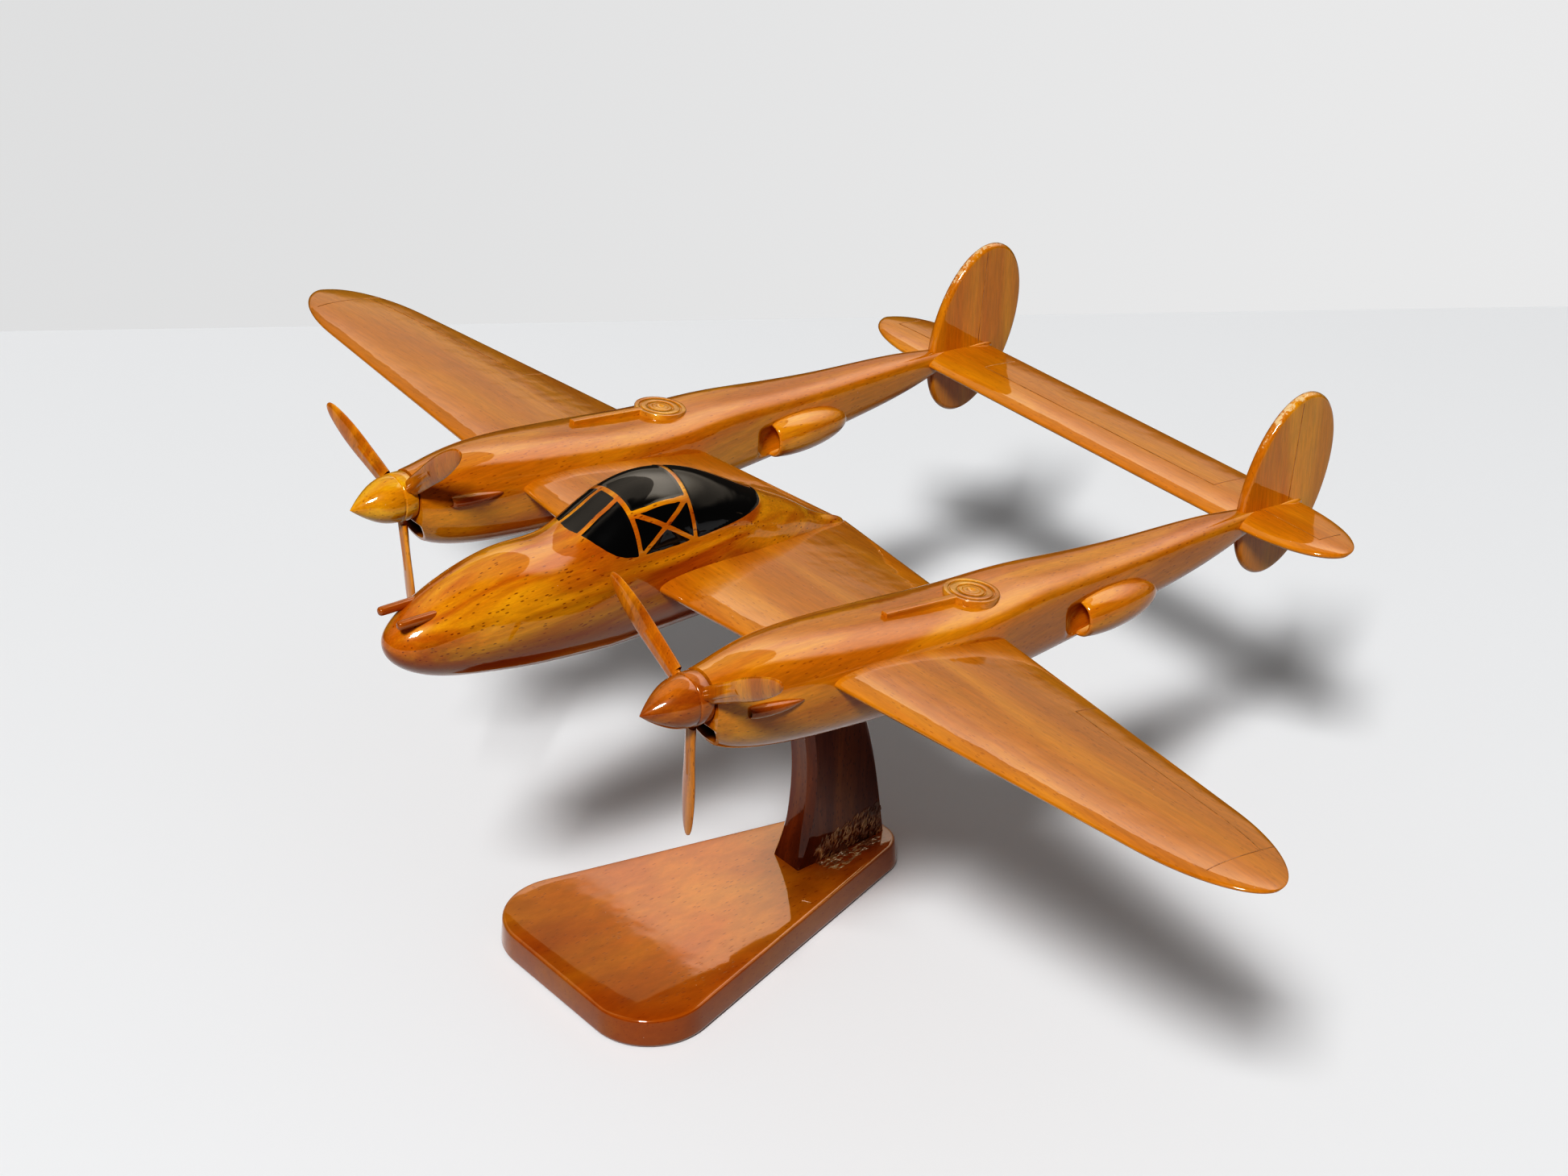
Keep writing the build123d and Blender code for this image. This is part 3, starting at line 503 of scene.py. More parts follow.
# ---------------------------------------------------------------- supercharger discs and duct strips
# On each nacelle's deck: a turned disc, scribed with two rings and dished in the middle, let into a
# shallow seat, and a narrow straight strip glued ahead of it.
disc_radius, disc_thickness, disc_place, disc_height = 7.1, 1.9, 99.5, 3.7
disc_tilt = math.radians(6)
disc_offset, strip_offset, strip_width, strip_front, strip_rear = 1.6, 2.4, 2.1, 70.3, 93.4
disc_profile = [(0.02, -0.5), (0.6, -0.42), (1.0, -0.2), (1.25, 0.02), (1.7, 0.05), (2.05, -0.02),
    (2.2, -0.22), (2.4, -0.02), (3.05, 0.0), (3.15, -0.06), (3.25, -0.38), (3.55, -0.38), (3.65, -0.06),
    (3.75, 0.0), (5.25, 0.0), (5.35, -0.06), (5.45, -0.38), (5.75, -0.38), (5.85, -0.06), (5.95, 0.0),
    (6.7, 0.0), (6.95, -0.08), (disc_radius, -0.3), (disc_radius, -disc_thickness),
    (0.02, -disc_thickness)]
disc_wood = lacquered("disc wood", (0.78, 0.408, 0.052), (0.58, 0.204, 0.0156), (0.32, 0.072, 0.0052),
    (420, 120, 420), (0, 1, 0), pores=0.4)


def disc_spot(sign):
    """Puts a disc turned about its own axis on the nacelle's deck."""
    def place(rings):
        x, y, z = rings[..., 0], rings[..., 1], rings[..., 2]
        aft = disc_place + y * math.cos(disc_tilt) + z * math.sin(disc_tilt)
        up = disc_height - y * math.sin(disc_tilt) + z * math.cos(disc_tilt)
        return seated(np.stack([sign * (half_spacing + disc_offset + x), aft, up], -1))
    return place


for side, sign in sides:
    joined(turned(f"supercharger_disc_{side}", disc_profile, disc_wood, disc_spot(sign), 96),
        f"supercharger_{side}")
    angle = np.radians(np.arange(8) * 45 + 22.5)
    rings = []
    for y, inset in [(strip_front, 0.25), (strip_front + 0.2, 0.0)] + [
            (y, 0.0) for y in np.linspace(strip_front + 1, strip_rear, 12)]:
        top = 6.64 - (y - strip_front) * 0.0976
        wide, corner_round = strip_width / 2 - inset, 0.4
        corner = [(wide - corner_round * (1 - math.cos(a)), top - inset - corner_round * (1 - math.sin(a)))
                  for a in np.linspace(0, math.pi / 2, 6)]
        left = [(-x, z) for x, z in corner[::-1]]
        rings.append([(sign * (half_spacing + strip_offset + x), y, z)
                      for x, z in corner + left + [(-wide, top - 4), (wide, top - 4)]])
    joined(skinned(f"duct_rail_{side}", seated(rings), boom_wood, 35), f"duct_strip_{side}")

# ---------------------------------------------------------------- radiator scoops
# Four half-bullets of wood, one on each side of each boom, hollowed behind a thin lip. The lacquer
# doesn't reach the bottom of the cup, which is left raw and golden.
scoop_length, scoop_half_height, scoop_stand, scoop_wall, scoop_cup = 27.5, 5.6, 5.8, 1.1, 9.0
scoop_shape = faired([(1.0, 0.02), (0.985, 0.14), (0.93, 0.4), (0.8, 0.7),
                      (0.6, 0.92), (0.35, 1.03), (0.12, 1.0), (0.0, 0.92)], 400)
scoop_wood = lacquered("scoop wood", (0.8, 0.36, 0.0195), (0.58, 0.18, 0.0065), (0.32, 0.06, 0.0026),
    (420, 40, 420), (0, 1, 0), pores=0.45, hollow=(0.86, 0.52, 0.17, 1), shift=(7, 2, 5))


def oval(y, wide, high, around=72):
    """An upright oval ring round the scoop's axis."""
    angle = angles(around)
    power = lambda value: np.sign(value) * np.abs(value) ** (2 / 2.2)
    return np.stack([wide * power(np.cos(angle)), y + 0 * angle, run_in_height + high
        * power(np.sin(angle))], -1)


for side, sign in sides:
    for name, outward in (("inner", -1), ("outer", 1)):
        axis_x = half_spacing + outward * float(boom_at(run_in_place + scoop_length / 2)[0])
        rings, marks = [], []
        for share, size in scoop_shape[::12, :2]:
            rings.append(oval(run_in_place + scoop_length * share, scoop_stand * size, scoop_half_height
                * size))
            marks.append(0.0)
        for aft, inset, inside in ((-0.18, 0.25, 0), (-0.26, 0.55, 0), (-0.18, 0.85, 0.0),
                (0.15, scoop_wall, 0.3), (1.2, 1.15, 0.8), (3.5, 1.25, 1), (6.0, 1.6, 1), (7.8, 2.5, 1),
                (8.7, 3.6, 1), (scoop_cup, 4.6, 1)):
            rings.append(oval(run_in_place + aft, scoop_stand * 0.92 - inset, scoop_half_height * 0.92
                - inset))
            marks.append(inside)
        rings = np.array(rings)
        rings[..., 0] = sign * (axis_x + rings[..., 0])
        marks = np.array(marks)[:, None]
        joined(skinned(f"radiator_scoop_{name}_{side}", seated(rings), scoop_wood, 50, {"hollow": marks}),
            f"radiator_{name}_{side}")

# ---------------------------------------------------------------- exhaust stubs
# A small teardrop of wood glued along each cheek of each nacelle, its blunt front end drilled, with painted
# shade, near black, inside the hole.
stub_front, stub_length, stub_half, stub_stand = 24.5, 14.5, 1.7, 1.15
stub_heights = {"inner": -0.4, "outer": -2.6}
# The near-black hollow colour is painted shade inside the drilled hole.
stub_wood = lacquered("stub wood", (0.7, 0.264, 0.013), (0.48, 0.12, 0.0039), (0.26, 0.048, 0.0013),
    (500, 50, 500), (0, 1, 0), hollow=(0.05, 0.015, 0.006, 1), shift=(2, 9, 1))
for side, sign in sides:
    for name, outward in (("inner", -1), ("outer", 1)):
        rings, marks = [], []
        for share, size, inside in ((1.0, 0.04, 0), (0.98, 0.15, 0), (0.9, 0.35, 0), (0.8, 0.52, 0),
                (0.65, 0.75, 0), (0.5, 0.9, 0), (0.3, 1.0, 0), (0.15, 1.0, 0), (0.05, 0.93, 0),
                (0.0, 0.82, 0), (-0.005, 0.7, 0), (0.01, 0.6, 0.5), (0.06, 0.55, 1), (0.14, 0.5, 1),
                (0.15, 0.1, 1)):
            y = stub_front + stub_length * share
            x = outward * (float(boom_at(y)[0]) - 0.1)
            ring = oval(y, stub_half * stub_stand * size, stub_half * size, 40)
            ring[:, 0] += x
            ring[:, 2] += stub_heights[name] - run_in_height
            rings.append(ring)
            marks.append(inside)
        rings = np.array(rings)
        rings[..., 0] = sign * (half_spacing + rings[..., 0])
        joined(skinned(f"exhaust_stub_{name}_{side}", seated(rings), stub_wood, 50,
            {"hollow": np.array(marks)[:, None]}), f"exhaust_{name}_{side}")

# ---------------------------------------------------------------- wing
# Four panels, planed from flat boards with the grain running out along the span: two between the pod
# and the booms, and two outside them with rounded tips. Blind dowels hold them to pod and booms.
wing_tip_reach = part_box("wing_outer_port")[1].x * 1000
wing_half_span, tip_round = 194.0, 30.0
wing_around = 132
wing_wood = lacquered("wing wood", (0.74, 0.32, 0.017), (0.55, 0.185, 0.007), (0.36, 0.085, 0.003),
    (22, 210, 210), (1, 0, 0), pores=0.35, streaks=0.7, figure=0.4, shift=(0, 4, 0))


def aerofoil(x, front, rear, front_height, rear_height, thickness):
    """A wing section: full at the nose, fine at the trailing edge."""
    angle = angles(wing_around)
    share = (1 - np.cos(angle)) / 2
    half = 0.65 * thickness * np.sin(angle) * (1 - 0.66 * share)
    return np.stack([x + 0 * angle, front + (rear - front) * share,
                     front_height + (rear_height - front_height) * share + half], -1)


def wing_section(x):
    """The wing's outline at a distance from the centre line, drawn in over the rounded tip."""
    share = x / wing_half_span
    front, rear = 40.2 + 18.8 * share, 113.5 - 29.9 * share
    front_height, rear_height, thickness = -1.4, -8.6 + 6.4 * share, 8.6 - 5.4 * share
    straight = wing_half_span - tip_round
    if x > straight:
        keep = (1 - min((x - straight) / (wing_tip_reach - straight), 1.0) ** 2.3) ** 0.5
        middle, middle_height = front + (rear - front) * 0.48, front_height + (rear_height
            - front_height) * 0.48
        front, rear = middle + (front - middle) * keep, middle + (rear - middle) * keep
        front_height = middle_height + (front_height - middle_height) * keep
        rear_height = middle_height + (rear_height - middle_height) * keep
        thickness *= keep ** 0.7
    return front, rear, front_height, rear_height, thickness


angle = angles(wing_around)
rim = np.clip((np.abs(np.cos(angle)) - 0.985) / 0.013, 0, 1)
for side, sign in sides:
    straight = wing_half_span - tip_round
    tip = straight + (wing_tip_reach - straight) * np.sin(np.linspace(0, math.pi / 2, 30)[:-1])
    for name, places in (("inner", np.linspace(0, half_spacing, 22)),
                         ("outer", np.concatenate([np.linspace(half_spacing, straight, 34)[:-1], tip]))):
        rings = np.array([aerofoil(x, *wing_section(x)) for x in places])
        rings[..., 0] *= sign
        joined(skinned(f"wing_panel_{name}_{side}", seated(rings), wing_wood, 60, {"rim": rim[None, :]}),
            f"wing_{name}_{side}")
dowel_wood = lacquered("dowel wood", (0.72, 0.44, 0.2), (0.6, 0.32, 0.13), (0.36, 0.16, 0.05),
    (60, 700, 700), (1, 0, 0), pores=0.3, gloss=0.5)


def finished(node_name, material):
    """Gives a carried-over piece its finish."""
    piece = frame["nodes"][node_name]
    piece.data.materials.clear()
    piece.data.materials.append(material)


for side in ("port", "starboard"):
    finished(f"wing_dowels_{side}", dowel_wood)

# ---------------------------------------------------------------- tail
# Two egg-shaped fins, cut from thin board with the grain upright and their edges rounded over, pass
# through the boom ends. The tailplane is in three pieces: one between the fins and one outside each.
fin_aft, fin_up, fin_half_height, fin_half_chord, fin_rake = 213.0, 1.5, 25.0, 16.0, 0.2
fin_half_thickness, fin_edge = 1.5, 1.3
fin_wood = lacquered("fin wood", (0.72, 0.324, 0.0156), (0.56, 0.18, 0.0052), (0.36, 0.066, 0.0013),
    (360, 360, 30), (0, 0, 1), pores=0.35, wear=0.52, shift=(0, 3, 2))
tail_wood = lacquered("tailplane wood", (0.76, 0.336, 0.0156), (0.6, 0.204, 0.0065),
    (0.42, 0.102, 0.0026), (24, 230, 230), (1, 0, 0), pores=0.3, streaks=0.7, figure=0.35,
    shift=(5, 0, 1))
angle = angles(120)
rise = fin_half_height * np.sin(angle)
rim_y, rim_z = fin_aft + fin_rake * rise + fin_half_chord * np.cos(angle), fin_up + rise
reach = np.hypot(rim_y - fin_aft, rim_z - fin_up)
turn = np.linspace(0, math.pi / 2, 8)
edge_steps = [(fin_half_thickness - fin_edge * (1 - math.cos(t)), fin_edge * (1 - math.sin(t))) for t in turn]
for side, sign in sides:
    half_rings, half_marks = [], []
    steps = [(fin_half_thickness, inset, 0) for inset in (13, 9, 5.5, 3)]
    for x, inset, worn in steps + [(x, inset, 1 - inset / 3) for x, inset in edge_steps]:
        scale = 1 - inset / reach
        half_rings.append(np.stack([x + 0 * angle, fin_aft + (rim_y - fin_aft) * scale,
                                    fin_up + (rim_z - fin_up) * scale], -1))
        half_marks.append(worn)
    mirror_rings = [ring * [-1, 1, 1] for ring in half_rings[::-1]]
    rings = np.array(half_rings + mirror_rings)
    rings[..., 0] += sign * half_spacing
    upper = np.clip(0.6 + 0.5 * np.sin(angle), 0, 1)
    marks = np.array(half_marks + half_marks[::-1])[:, None] * upper[None, :]
    joined(skinned(f"fin_plate_{side}", seated(rings), fin_wood, 60, {"rim": marks}), f"fin_{side}")

tail_front, tail_rear, tail_height, tail_thickness = 193.2, 218.5, -5.1, 4.0
tail_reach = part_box("tailplane_tip_port")[1].x * 1000 - half_spacing


def tail_section(x, keep=1.0):
    """The tailplane's section, drawn in towards its tip."""
    middle, half = (tail_front + tail_rear) / 2, (tail_rear - tail_front) / 2 * keep
    return aerofoil(x, middle - half, middle + half, tail_height, tail_height, tail_thickness * keep ** 0.6)


rings = [tail_section(x) for x in np.linspace(-half_spacing, half_spacing, 40)]
joined(skinned("tailplane_board", seated(rings), tail_wood, 60, {"rim": rim[None, :]}), "tailplane_centre")
for side, sign in sides:
    shares = np.sin(np.linspace(0, math.pi / 2, 28))[:-1]
    rings = np.array([tail_section(half_spacing + tail_reach * share, (1 - share ** 2.3) ** 0.5)
        for share in shares])
    rings[..., 0] *= sign
    joined(skinned(f"tailplane_end_{side}", seated(rings), tail_wood, 60, {"rim": rim[None, :]}),
        f"tailplane_tip_{side}")

# ---------------------------------------------------------------- scribed lines
# The ailerons, elevator, rudders and wing tips are only marked, with a knife line cut in the wood and
# filled with lacquer and a little polish. Each line is a thin bead that follows the surface.
line_radius = 0.12
aileron_in, aileron_out, elevator_in, elevator_out = 113.0, 180.5, 46.0, 84.0
elevator_line, elevator_tip_line = 203.6, 203.8


def crest(share, thickness):
    """Height of a section's skin over its middle, at a share of the chord."""
    return 0.65 * thickness * 2 * math.sqrt(share * (1 - share)) * (1 - 0.66 * share)


def along_wing(sign, places):
    """Points on the wing's upper skin from (distance out, share of the chord)."""
    made = []
    for x, share in places:
        front, rear, front_height, rear_height, thickness = wing_section(x)
        height = front_height + (rear_height - front_height) * share + crest(share, thickness)
        made.append((sign * x, front + (rear - front) * share, height))
    return made


def along_tail(sign, places):
    """Points on the tailplane's upper skin from (distance out, distance aft)."""
    made = []
    for x, y in places:
        keep = 1.0 if x <= half_spacing else (1 - ((x - half_spacing) / tail_reach) ** 2.3) ** 0.5
        middle, half = (tail_front + tail_rear) / 2, (tail_rear - tail_front) / 2 * keep
        share = min(max((y - middle + half) / (2 * half), 0.0), 1.0)
        made.append((sign * x, y, tail_height + crest(share, tail_thickness * keep ** 0.6)))
    return made


def stepped(start, end, count=24):
    """Even steps from one place to another."""
    return [tuple(start[k] + (end[k] - start[k]) * i / count for k in range(2)) for i in range(count + 1)]


lines = []
for sign in (1, -1):
    lines.append(along_wing(sign, stepped((aileron_in, 0.985), (aileron_in, 0.83), 10)
                            + stepped((aileron_in, 0.83), (aileron_out, 0.8), 60)))
    lines.append(along_wing(sign, stepped((aileron_out, 0.985), (aileron_out, 0.1), 30)))
    corner = (elevator_out, elevator_tip_line)
    lines.append(along_tail(sign, stepped((half_spacing + 2.5, elevator_tip_line), corner, 16)
                            + stepped(corner, (elevator_out, 212.0), 8)))
    for face in (1, -1):
        x = sign * half_spacing + face * fin_half_thickness
        lines.append([(x, fin_aft + 1.2 + fin_rake * 0.2 * z, fin_up + z)
                      for z in np.linspace(-4.5, 23.2, 30)])
lines.append(along_tail(1, stepped((elevator_in, 215.5), (elevator_in, elevator_line), 8)
                        + stepped((elevator_in, elevator_line), (-elevator_in, elevator_line), 80)
                        + stepped((-elevator_in, elevator_line), (-elevator_in, 215.5), 8)))
line_mesh = bpy.data.meshes.new("scribed lines")
line_points, line_edges = [], []
for line in lines:
    start = len(line_points)
    line_points += seated(line).tolist()
    line_edges += [(start + i, start + i + 1) for i in range(len(line) - 1)]
line_mesh.from_pydata(line_points, line_edges, [])
line_bead = shown("scribed bead", line_mesh)
line_wood = lacquered("filled line", (0.56, 0.26, 0.08), (0.33, 0.11, 0.02), (0.17, 0.04, 0.007),
    (500, 500, 500), (1, 0, 0))


def steps_tree(name, sockets):
    """An empty geometry tree with named inputs and one geometry output."""
    tree = bpy.data.node_groups.new(name, "GeometryNodeTree")
    tree.interface.new_socket(name="Geometry", in_out="INPUT", socket_type="NodeSocketGeometry")
    for label, kind in sockets:
        tree.interface.new_socket(name=label, in_out="INPUT", socket_type="NodeSocket" + kind)
    tree.interface.new_socket(name="Geometry", in_out="OUTPUT", socket_type="NodeSocketGeometry")
    return tree, tree.nodes.new("NodeGroupInput").outputs, tree.nodes.new("NodeGroupOutput").inputs


def ended(tree, geometry, inputs, outputs, smooth=True):
    """Makes instances real, gives them their finish, and ends the tree."""
    real = node(tree, "GeometryNodeRealizeInstances", {0: geometry}).outputs[0]
    shaded = node(tree, "GeometryNodeSetShadeSmooth", {0: real, "Shade Smooth": smooth}).outputs[0]
    dressed = node(tree, "GeometryNodeSetMaterial", {"Geometry": shaded,
        "Material": inputs["Finish"]}).outputs[0]
    tree.links.new(dressed, outputs["Geometry"])


def grown(source, tree, name, **values):
    """Runs a geometry tree on a mesh and leaves the result as a plain mesh."""
    modifier = source.modifiers.new("steps", "NODES")
    modifier.node_group = tree
    names = {item.name: item.identifier for item in tree.interface.items_tree if item.in_out == "INPUT"}
    for label, value in values.items():
        modifier[names[label.replace("_", " ")]] = value
    graph = bpy.context.evaluated_depsgraph_get()
    mesh = bpy.data.meshes.new_from_object(source.evaluated_get(graph), depsgraph=graph)
    bpy.data.objects.remove(source)
    return shown(name, mesh)


bead_tree, bead_in, bead_out = steps_tree("bead along lines", [("Radius", "Float"), ("Sides", "Int"),
                                                               ("Finish", "Material")])
bead_line = node(bead_tree, "GeometryNodeMeshToCurve", {0: bead_in["Geometry"]}).outputs[0]
bead_round = node(bead_tree, "GeometryNodeCurvePrimitiveCircle", {"Resolution": bead_in["Sides"],
    "Radius": bead_in["Radius"]})
bead = node(bead_tree, "GeometryNodeCurveToMesh", {"Curve": bead_line,
    "Profile Curve": bead_round.outputs[0], "Fill Caps": True})
ended(bead_tree, bead.outputs[0], bead_in, bead_out)
joined(grown(line_bead, bead_tree, "scribed_lines", Radius=line_radius / 1000, Sides=6, Finish=line_wood))

# ---------------------------------------------------------------- propellers
# Each propeller is a pointed turned cap, a ring behind it, and three carved blades plugged into the
# ring. It turns on a headed brass pin in a brass bush. The starboard one is of paler wood.
blade_radius, blade_plane, spinner_radius, ring_front, ring_rear = 37.3, 14.9, 6.5, 12.6, 16.8
blade_table = faired([(0.09, 2.6, 2.6, 22), (0.17, 2.6, 2.5, 22), (0.27, 3.9, 2.1, 19), (0.42, 5.4, 1.8, 15),
                      (0.58, 6.0, 1.6, 12), (0.74, 5.8, 1.4, 10), (0.87, 4.7, 1.2, 9), (0.95, 3.2, 1.0, 8),
                      (0.985, 1.7, 0.7, 8), (0.99, 0.3, 0.3, 8)], 900)
blade_phase = {"port": 0.4, "starboard": 10.2}
propeller_finish = {
    "starboard": lacquered("golden propeller wood", (0.94, 0.552, 0.0182), (0.76, 0.336, 0.0078),
                           (0.42, 0.108, 0.0026), (420, 60, 420), (0, 1, 0), pores=0.5, shift=(1, 1, 9)),
    "port": lacquered("brown propeller wood", (0.54, 0.165, 0.012), (0.32, 0.07, 0.005),
                      (0.12, 0.018, 0.0016), (420, 60, 420), (0, 1, 0), pores=0.5, shift=(4, 7, 2))}
blade_finish = lacquered("blade wood", (0.8, 0.34, 0.016), (0.5, 0.14, 0.005), (0.2, 0.032, 0.0016),
    (420, 420, 60), (0, 0, 1), pores=0.4, shift=(2, 5, 3))


def metal(name, scale, dark, light, smoothest, roughest):
    """Bare metal, rubbed a little unevenly."""
    material = bpy.data.materials.new(name)
    material.use_nodes = True
    tree = material.node_tree
    rub = noise(tree, node(tree, "ShaderNodeTexCoord").outputs["Object"], scale)
    skin = tree.nodes["Principled BSDF"]
    skin.inputs["Metallic"].default_value = 1.0
    tree.links.new(blended(tree, rub, (*dark, 1), (*light, 1)), skin.inputs["Base Color"])
    tree.links.new(ramped(tree, rub, 0.2, 0.8, smoothest, roughest), skin.inputs["Roughness"])
    return material


brass = metal("turned brass", 2600.0, (0.42, 0.28, 0.09), (0.78, 0.58, 0.25), 0.22, 0.42)
fan_tree, fan_in, fan_out = steps_tree("blades round a shaft", [
    ("Blades", "Int"), ("First angle", "Float"), ("Pitch", "Float"),
    ("Shaft", "Vector"), ("Finish", "Material")])
fan_points = node(fan_tree, "GeometryNodePoints", {"Count": fan_in["Blades"]}).outputs[0]
fan_step = summed(fan_tree, "DIVIDE", 2 * math.pi, fan_in["Blades"])
fan_index = node(fan_tree, "GeometryNodeInputIndex").outputs[0]
fan_turn = summed(fan_tree, "MULTIPLY_ADD", fan_index, fan_step, fan_in["First angle"])
fan_back = summed(fan_tree, "MULTIPLY", fan_turn, -1.0)
fan_euler = node(fan_tree, "ShaderNodeCombineXYZ", {1: fan_back}).outputs[0]
fan_rotation = node(fan_tree, "FunctionNodeEulerToRotation", {0: fan_euler}).outputs[0]
fan_blades = node(fan_tree, "GeometryNodeInstanceOnPoints", {"Points": fan_points,
    "Instance": fan_in["Geometry"], "Rotation": fan_rotation}).outputs[0]
fan_pitch = summed(fan_tree, "MULTIPLY", fan_in["Pitch"], -1.0)
fan_seat = node(fan_tree, "GeometryNodeTransform", {"Geometry": fan_blades, "Translation": fan_in["Shaft"]})
fan_seat_turn = node(fan_tree, "ShaderNodeCombineXYZ", {0: fan_pitch}).outputs[0]
fan_tree.links.new(fan_seat_turn, fan_seat.inputs["Rotation"])
ended(fan_tree, fan_seat.outputs[0], fan_in, fan_out)


def blade_mesh(name):
    """One blade lying along +X from the shaft, its root a round peg, leading edge upwards."""
    angle = angles(40)
    rings = []
    for out, chord, thick, twist in thinned(blade_table * [blade_radius, 1, 1, 1], lambda out: 0.8):
        wide, deep = chord / 2 * np.cos(angle), thick / 2 * np.sin(angle)
        twist = math.radians(twist)
        up = wide * math.cos(twist) - deep * math.sin(twist)
        fore = wide * math.sin(twist) + deep * math.cos(twist)
        rings.append(np.stack([out + 0 * angle, blade_plane - fore, up], -1) / 1000)
    return skinned(name, rings, blade_finish, 60)


for side, sign in sides:
    body = f"propeller_{side}"
    place = lambda rings: seated(np.stack([rings[..., 0] + sign * half_spacing, rings[..., 2],
        rings[..., 1]], -1))
    cone = [(spinner_radius * 0.97 * math.sin(s * math.pi / 2) ** 0.95, ring_front * s)
        for s in np.linspace(0.002, 1, 48) ** 1.5]
    cone += [(spinner_radius * 0.97 - 0.15, ring_front - 0.02), (2.5, ring_front - 0.02),
        (2.5, ring_front - 2.3), (0.02, ring_front - 2.3)]
    joined(turned(f"spinner_cap_{side}", cone, propeller_finish[side], place, 96), f"spinner_cone_{side}",
        body=body, slot="propeller_wood")
    ring = [(1.8, ring_front + 0.02), (6.0, ring_front + 0.02), (6.12, ring_front + 0.15),
        (6.12, ring_front + 0.5), (6.35, ring_front + 0.62), (spinner_radius, ring_front + 0.85),
        (spinner_radius, ring_rear - 0.3), (6.4, ring_rear - 0.08), (6.2, ring_rear), (1.8, ring_rear),
        (1.8, ring_front + 0.02)]
    joined(turned(f"spinner_ring_{side}", ring, propeller_finish[side], place, 96), f"spinner_hub_{side}",
        body=body, slot="propeller_wood")
    shaft_at = Vector((sign * half_spacing / 1000, spinner_tip[1] / 1000, spinner_tip[2] / 1000))
    blades = grown(blade_mesh("blade"), fan_tree, f"carved_blades_{side}", Blades=3,
        First_angle=math.radians(-90 + blade_phase[side]), Pitch=pitch, Shaft=shaft_at,
        Finish=blade_finish)
    joined(blades, *[f"blade_{side}_{i}" for i in (1, 2, 3)], body=body, slot="propeller_wood")
    finished(f"hub_bush_{side}", brass)
    finished(f"propeller_pin_{side}", brass)

# ---------------------------------------------------------------- stand base
# A tapering board of dark red-brown wood with round corners, its top edge rounded over by hand and its
# sides spreading a little. Two screws come up through it from below into the post.
base_length, base_front, base_rear, base_flare = 111.0, 83.0, 21.0, 0.8
base_thickness = (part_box("stand_base")[1].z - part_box("stand_base")[0].z) * 1000
bottom_round, top_round = 1.6, 1.0
base_wood = lacquered("stand base wood", (0.78, 0.336, 0.0156), (0.5, 0.132, 0.0039),
    (0.22, 0.03, 0.0013), (75, 28, 75), (0, 1, 0), pores=0.45, streaks=0.8, figure=0.75, waves=0.12,
    wear=0.3, shift=(0.6, 2.2, 0))
base_corners = [(-base_front / 2, -base_length / 2), (base_front / 2, -base_length / 2),
                (base_rear / 2, base_length / 2), (-base_rear / 2, base_length / 2)]
edge_points, edge_out = [], []
for i, (corner, radius) in enumerate(zip(base_corners, (17, 17, 8, 8))):
    corner = np.array(corner)
    before = corner - base_corners[i - 1]
    after = np.array(base_corners[(i + 1) % 4]) - corner
    before, after = before / np.linalg.norm(before), after / np.linalg.norm(after)
    swing = math.acos(before @ after)
    centre = corner - before * radius * math.tan(swing / 2) + np.array([-before[1], before[0]]) * radius
    start = math.atan2(-before[0], before[1])
    for bend in np.linspace(0, swing, 18):
        out = np.array([math.cos(start + bend), math.sin(start + bend)])
        edge_points.append(centre + out * radius)
        edge_out.append(out)
edge_points, edge_out = np.array(edge_points), np.array(edge_out)
rings, marks = [], []


def base_ring(outline, height, worn=0.0):
    """One ring of the base, and how far its edge is worn."""
    rings.append(np.c_[outline, np.full(len(outline), height)])
    marks.append(worn)


for share in (0.15, 0.5, 0.85):
    base_ring((edge_points - edge_out) * share, 0.0)
for bend in np.linspace(0, math.pi / 2, 7):
    out = base_flare * (1 - bottom_round / base_thickness) - bottom_round + bottom_round * math.sin(bend)
    base_ring(edge_points + edge_out * out, bottom_round - bottom_round * math.cos(bend))
for bend in np.linspace(0, math.pi / 2, 7):
    out = -top_round + (top_round + 0.08) * math.cos(bend)
    base_ring(edge_points + edge_out * out, base_thickness - top_round + top_round * math.sin(bend), 0.8)
for share in (0.93, 0.8, 0.6, 0.35, 0.1):
    base_ring((edge_points - edge_out) * share, base_thickness)
rings = np.array(rings)
# Painted shade: the board's sides and underside are darkened in colour, and the board also grows darker
# towards its front end.
darker_front_and_painted_side_shade = 0.5 * np.clip((-26 - rings[..., 1]) / 20, 0, 1) + 0.6 * (rings[..., 2] < base_thickness - 0.3)
base_marks = {"rim": np.array(marks)[:, None], "shade": np.clip(darker_front_and_painted_side_shade, 0, 0.75)}
joined(skinned("base_board", rings / 1000, base_wood, 50, base_marks), "stand_base", body="stand",
    slot="stand_wood")
steel = metal("plated steel", 1800.0, (0.35, 0.34, 0.33), (0.62, 0.62, 0.64), 0.28, 0.5)
finished("stand_screws", steel)

# ---------------------------------------------------------------- stand post
# A post sawn from a plank with the grain upright: straight from foot to waist, then swept forward to
# its neck, front edges chamfered, top hollowed to the belly. Two pegs stand in it and enter the pod.
post_low, post_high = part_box("stand_post")
post_half = (post_high.x - post_low.x) * 500
rear_round, waist_rise = 0.7, 38.0
foot_rear = post_high.y * 1000
foot_front = foot_rear - 31.0
waist_front, neck_front = foot_front + 4.3, foot_front - 14.0
waist_rear, neck_rear = waist_front + 20.5, neck_front + 15.0
waist = base_thickness + waist_rise
post_wood = lacquered("stand post wood", (0.3, 0.09, 0.0078), (0.16, 0.031, 0.0026),
    (0.08, 0.011, 0.0013), (330, 330, 30), (0, 0, 1), pores=0.5, wear=0.2, shift=(3, 0, 6))
pod_curve = faired(pod_stations)


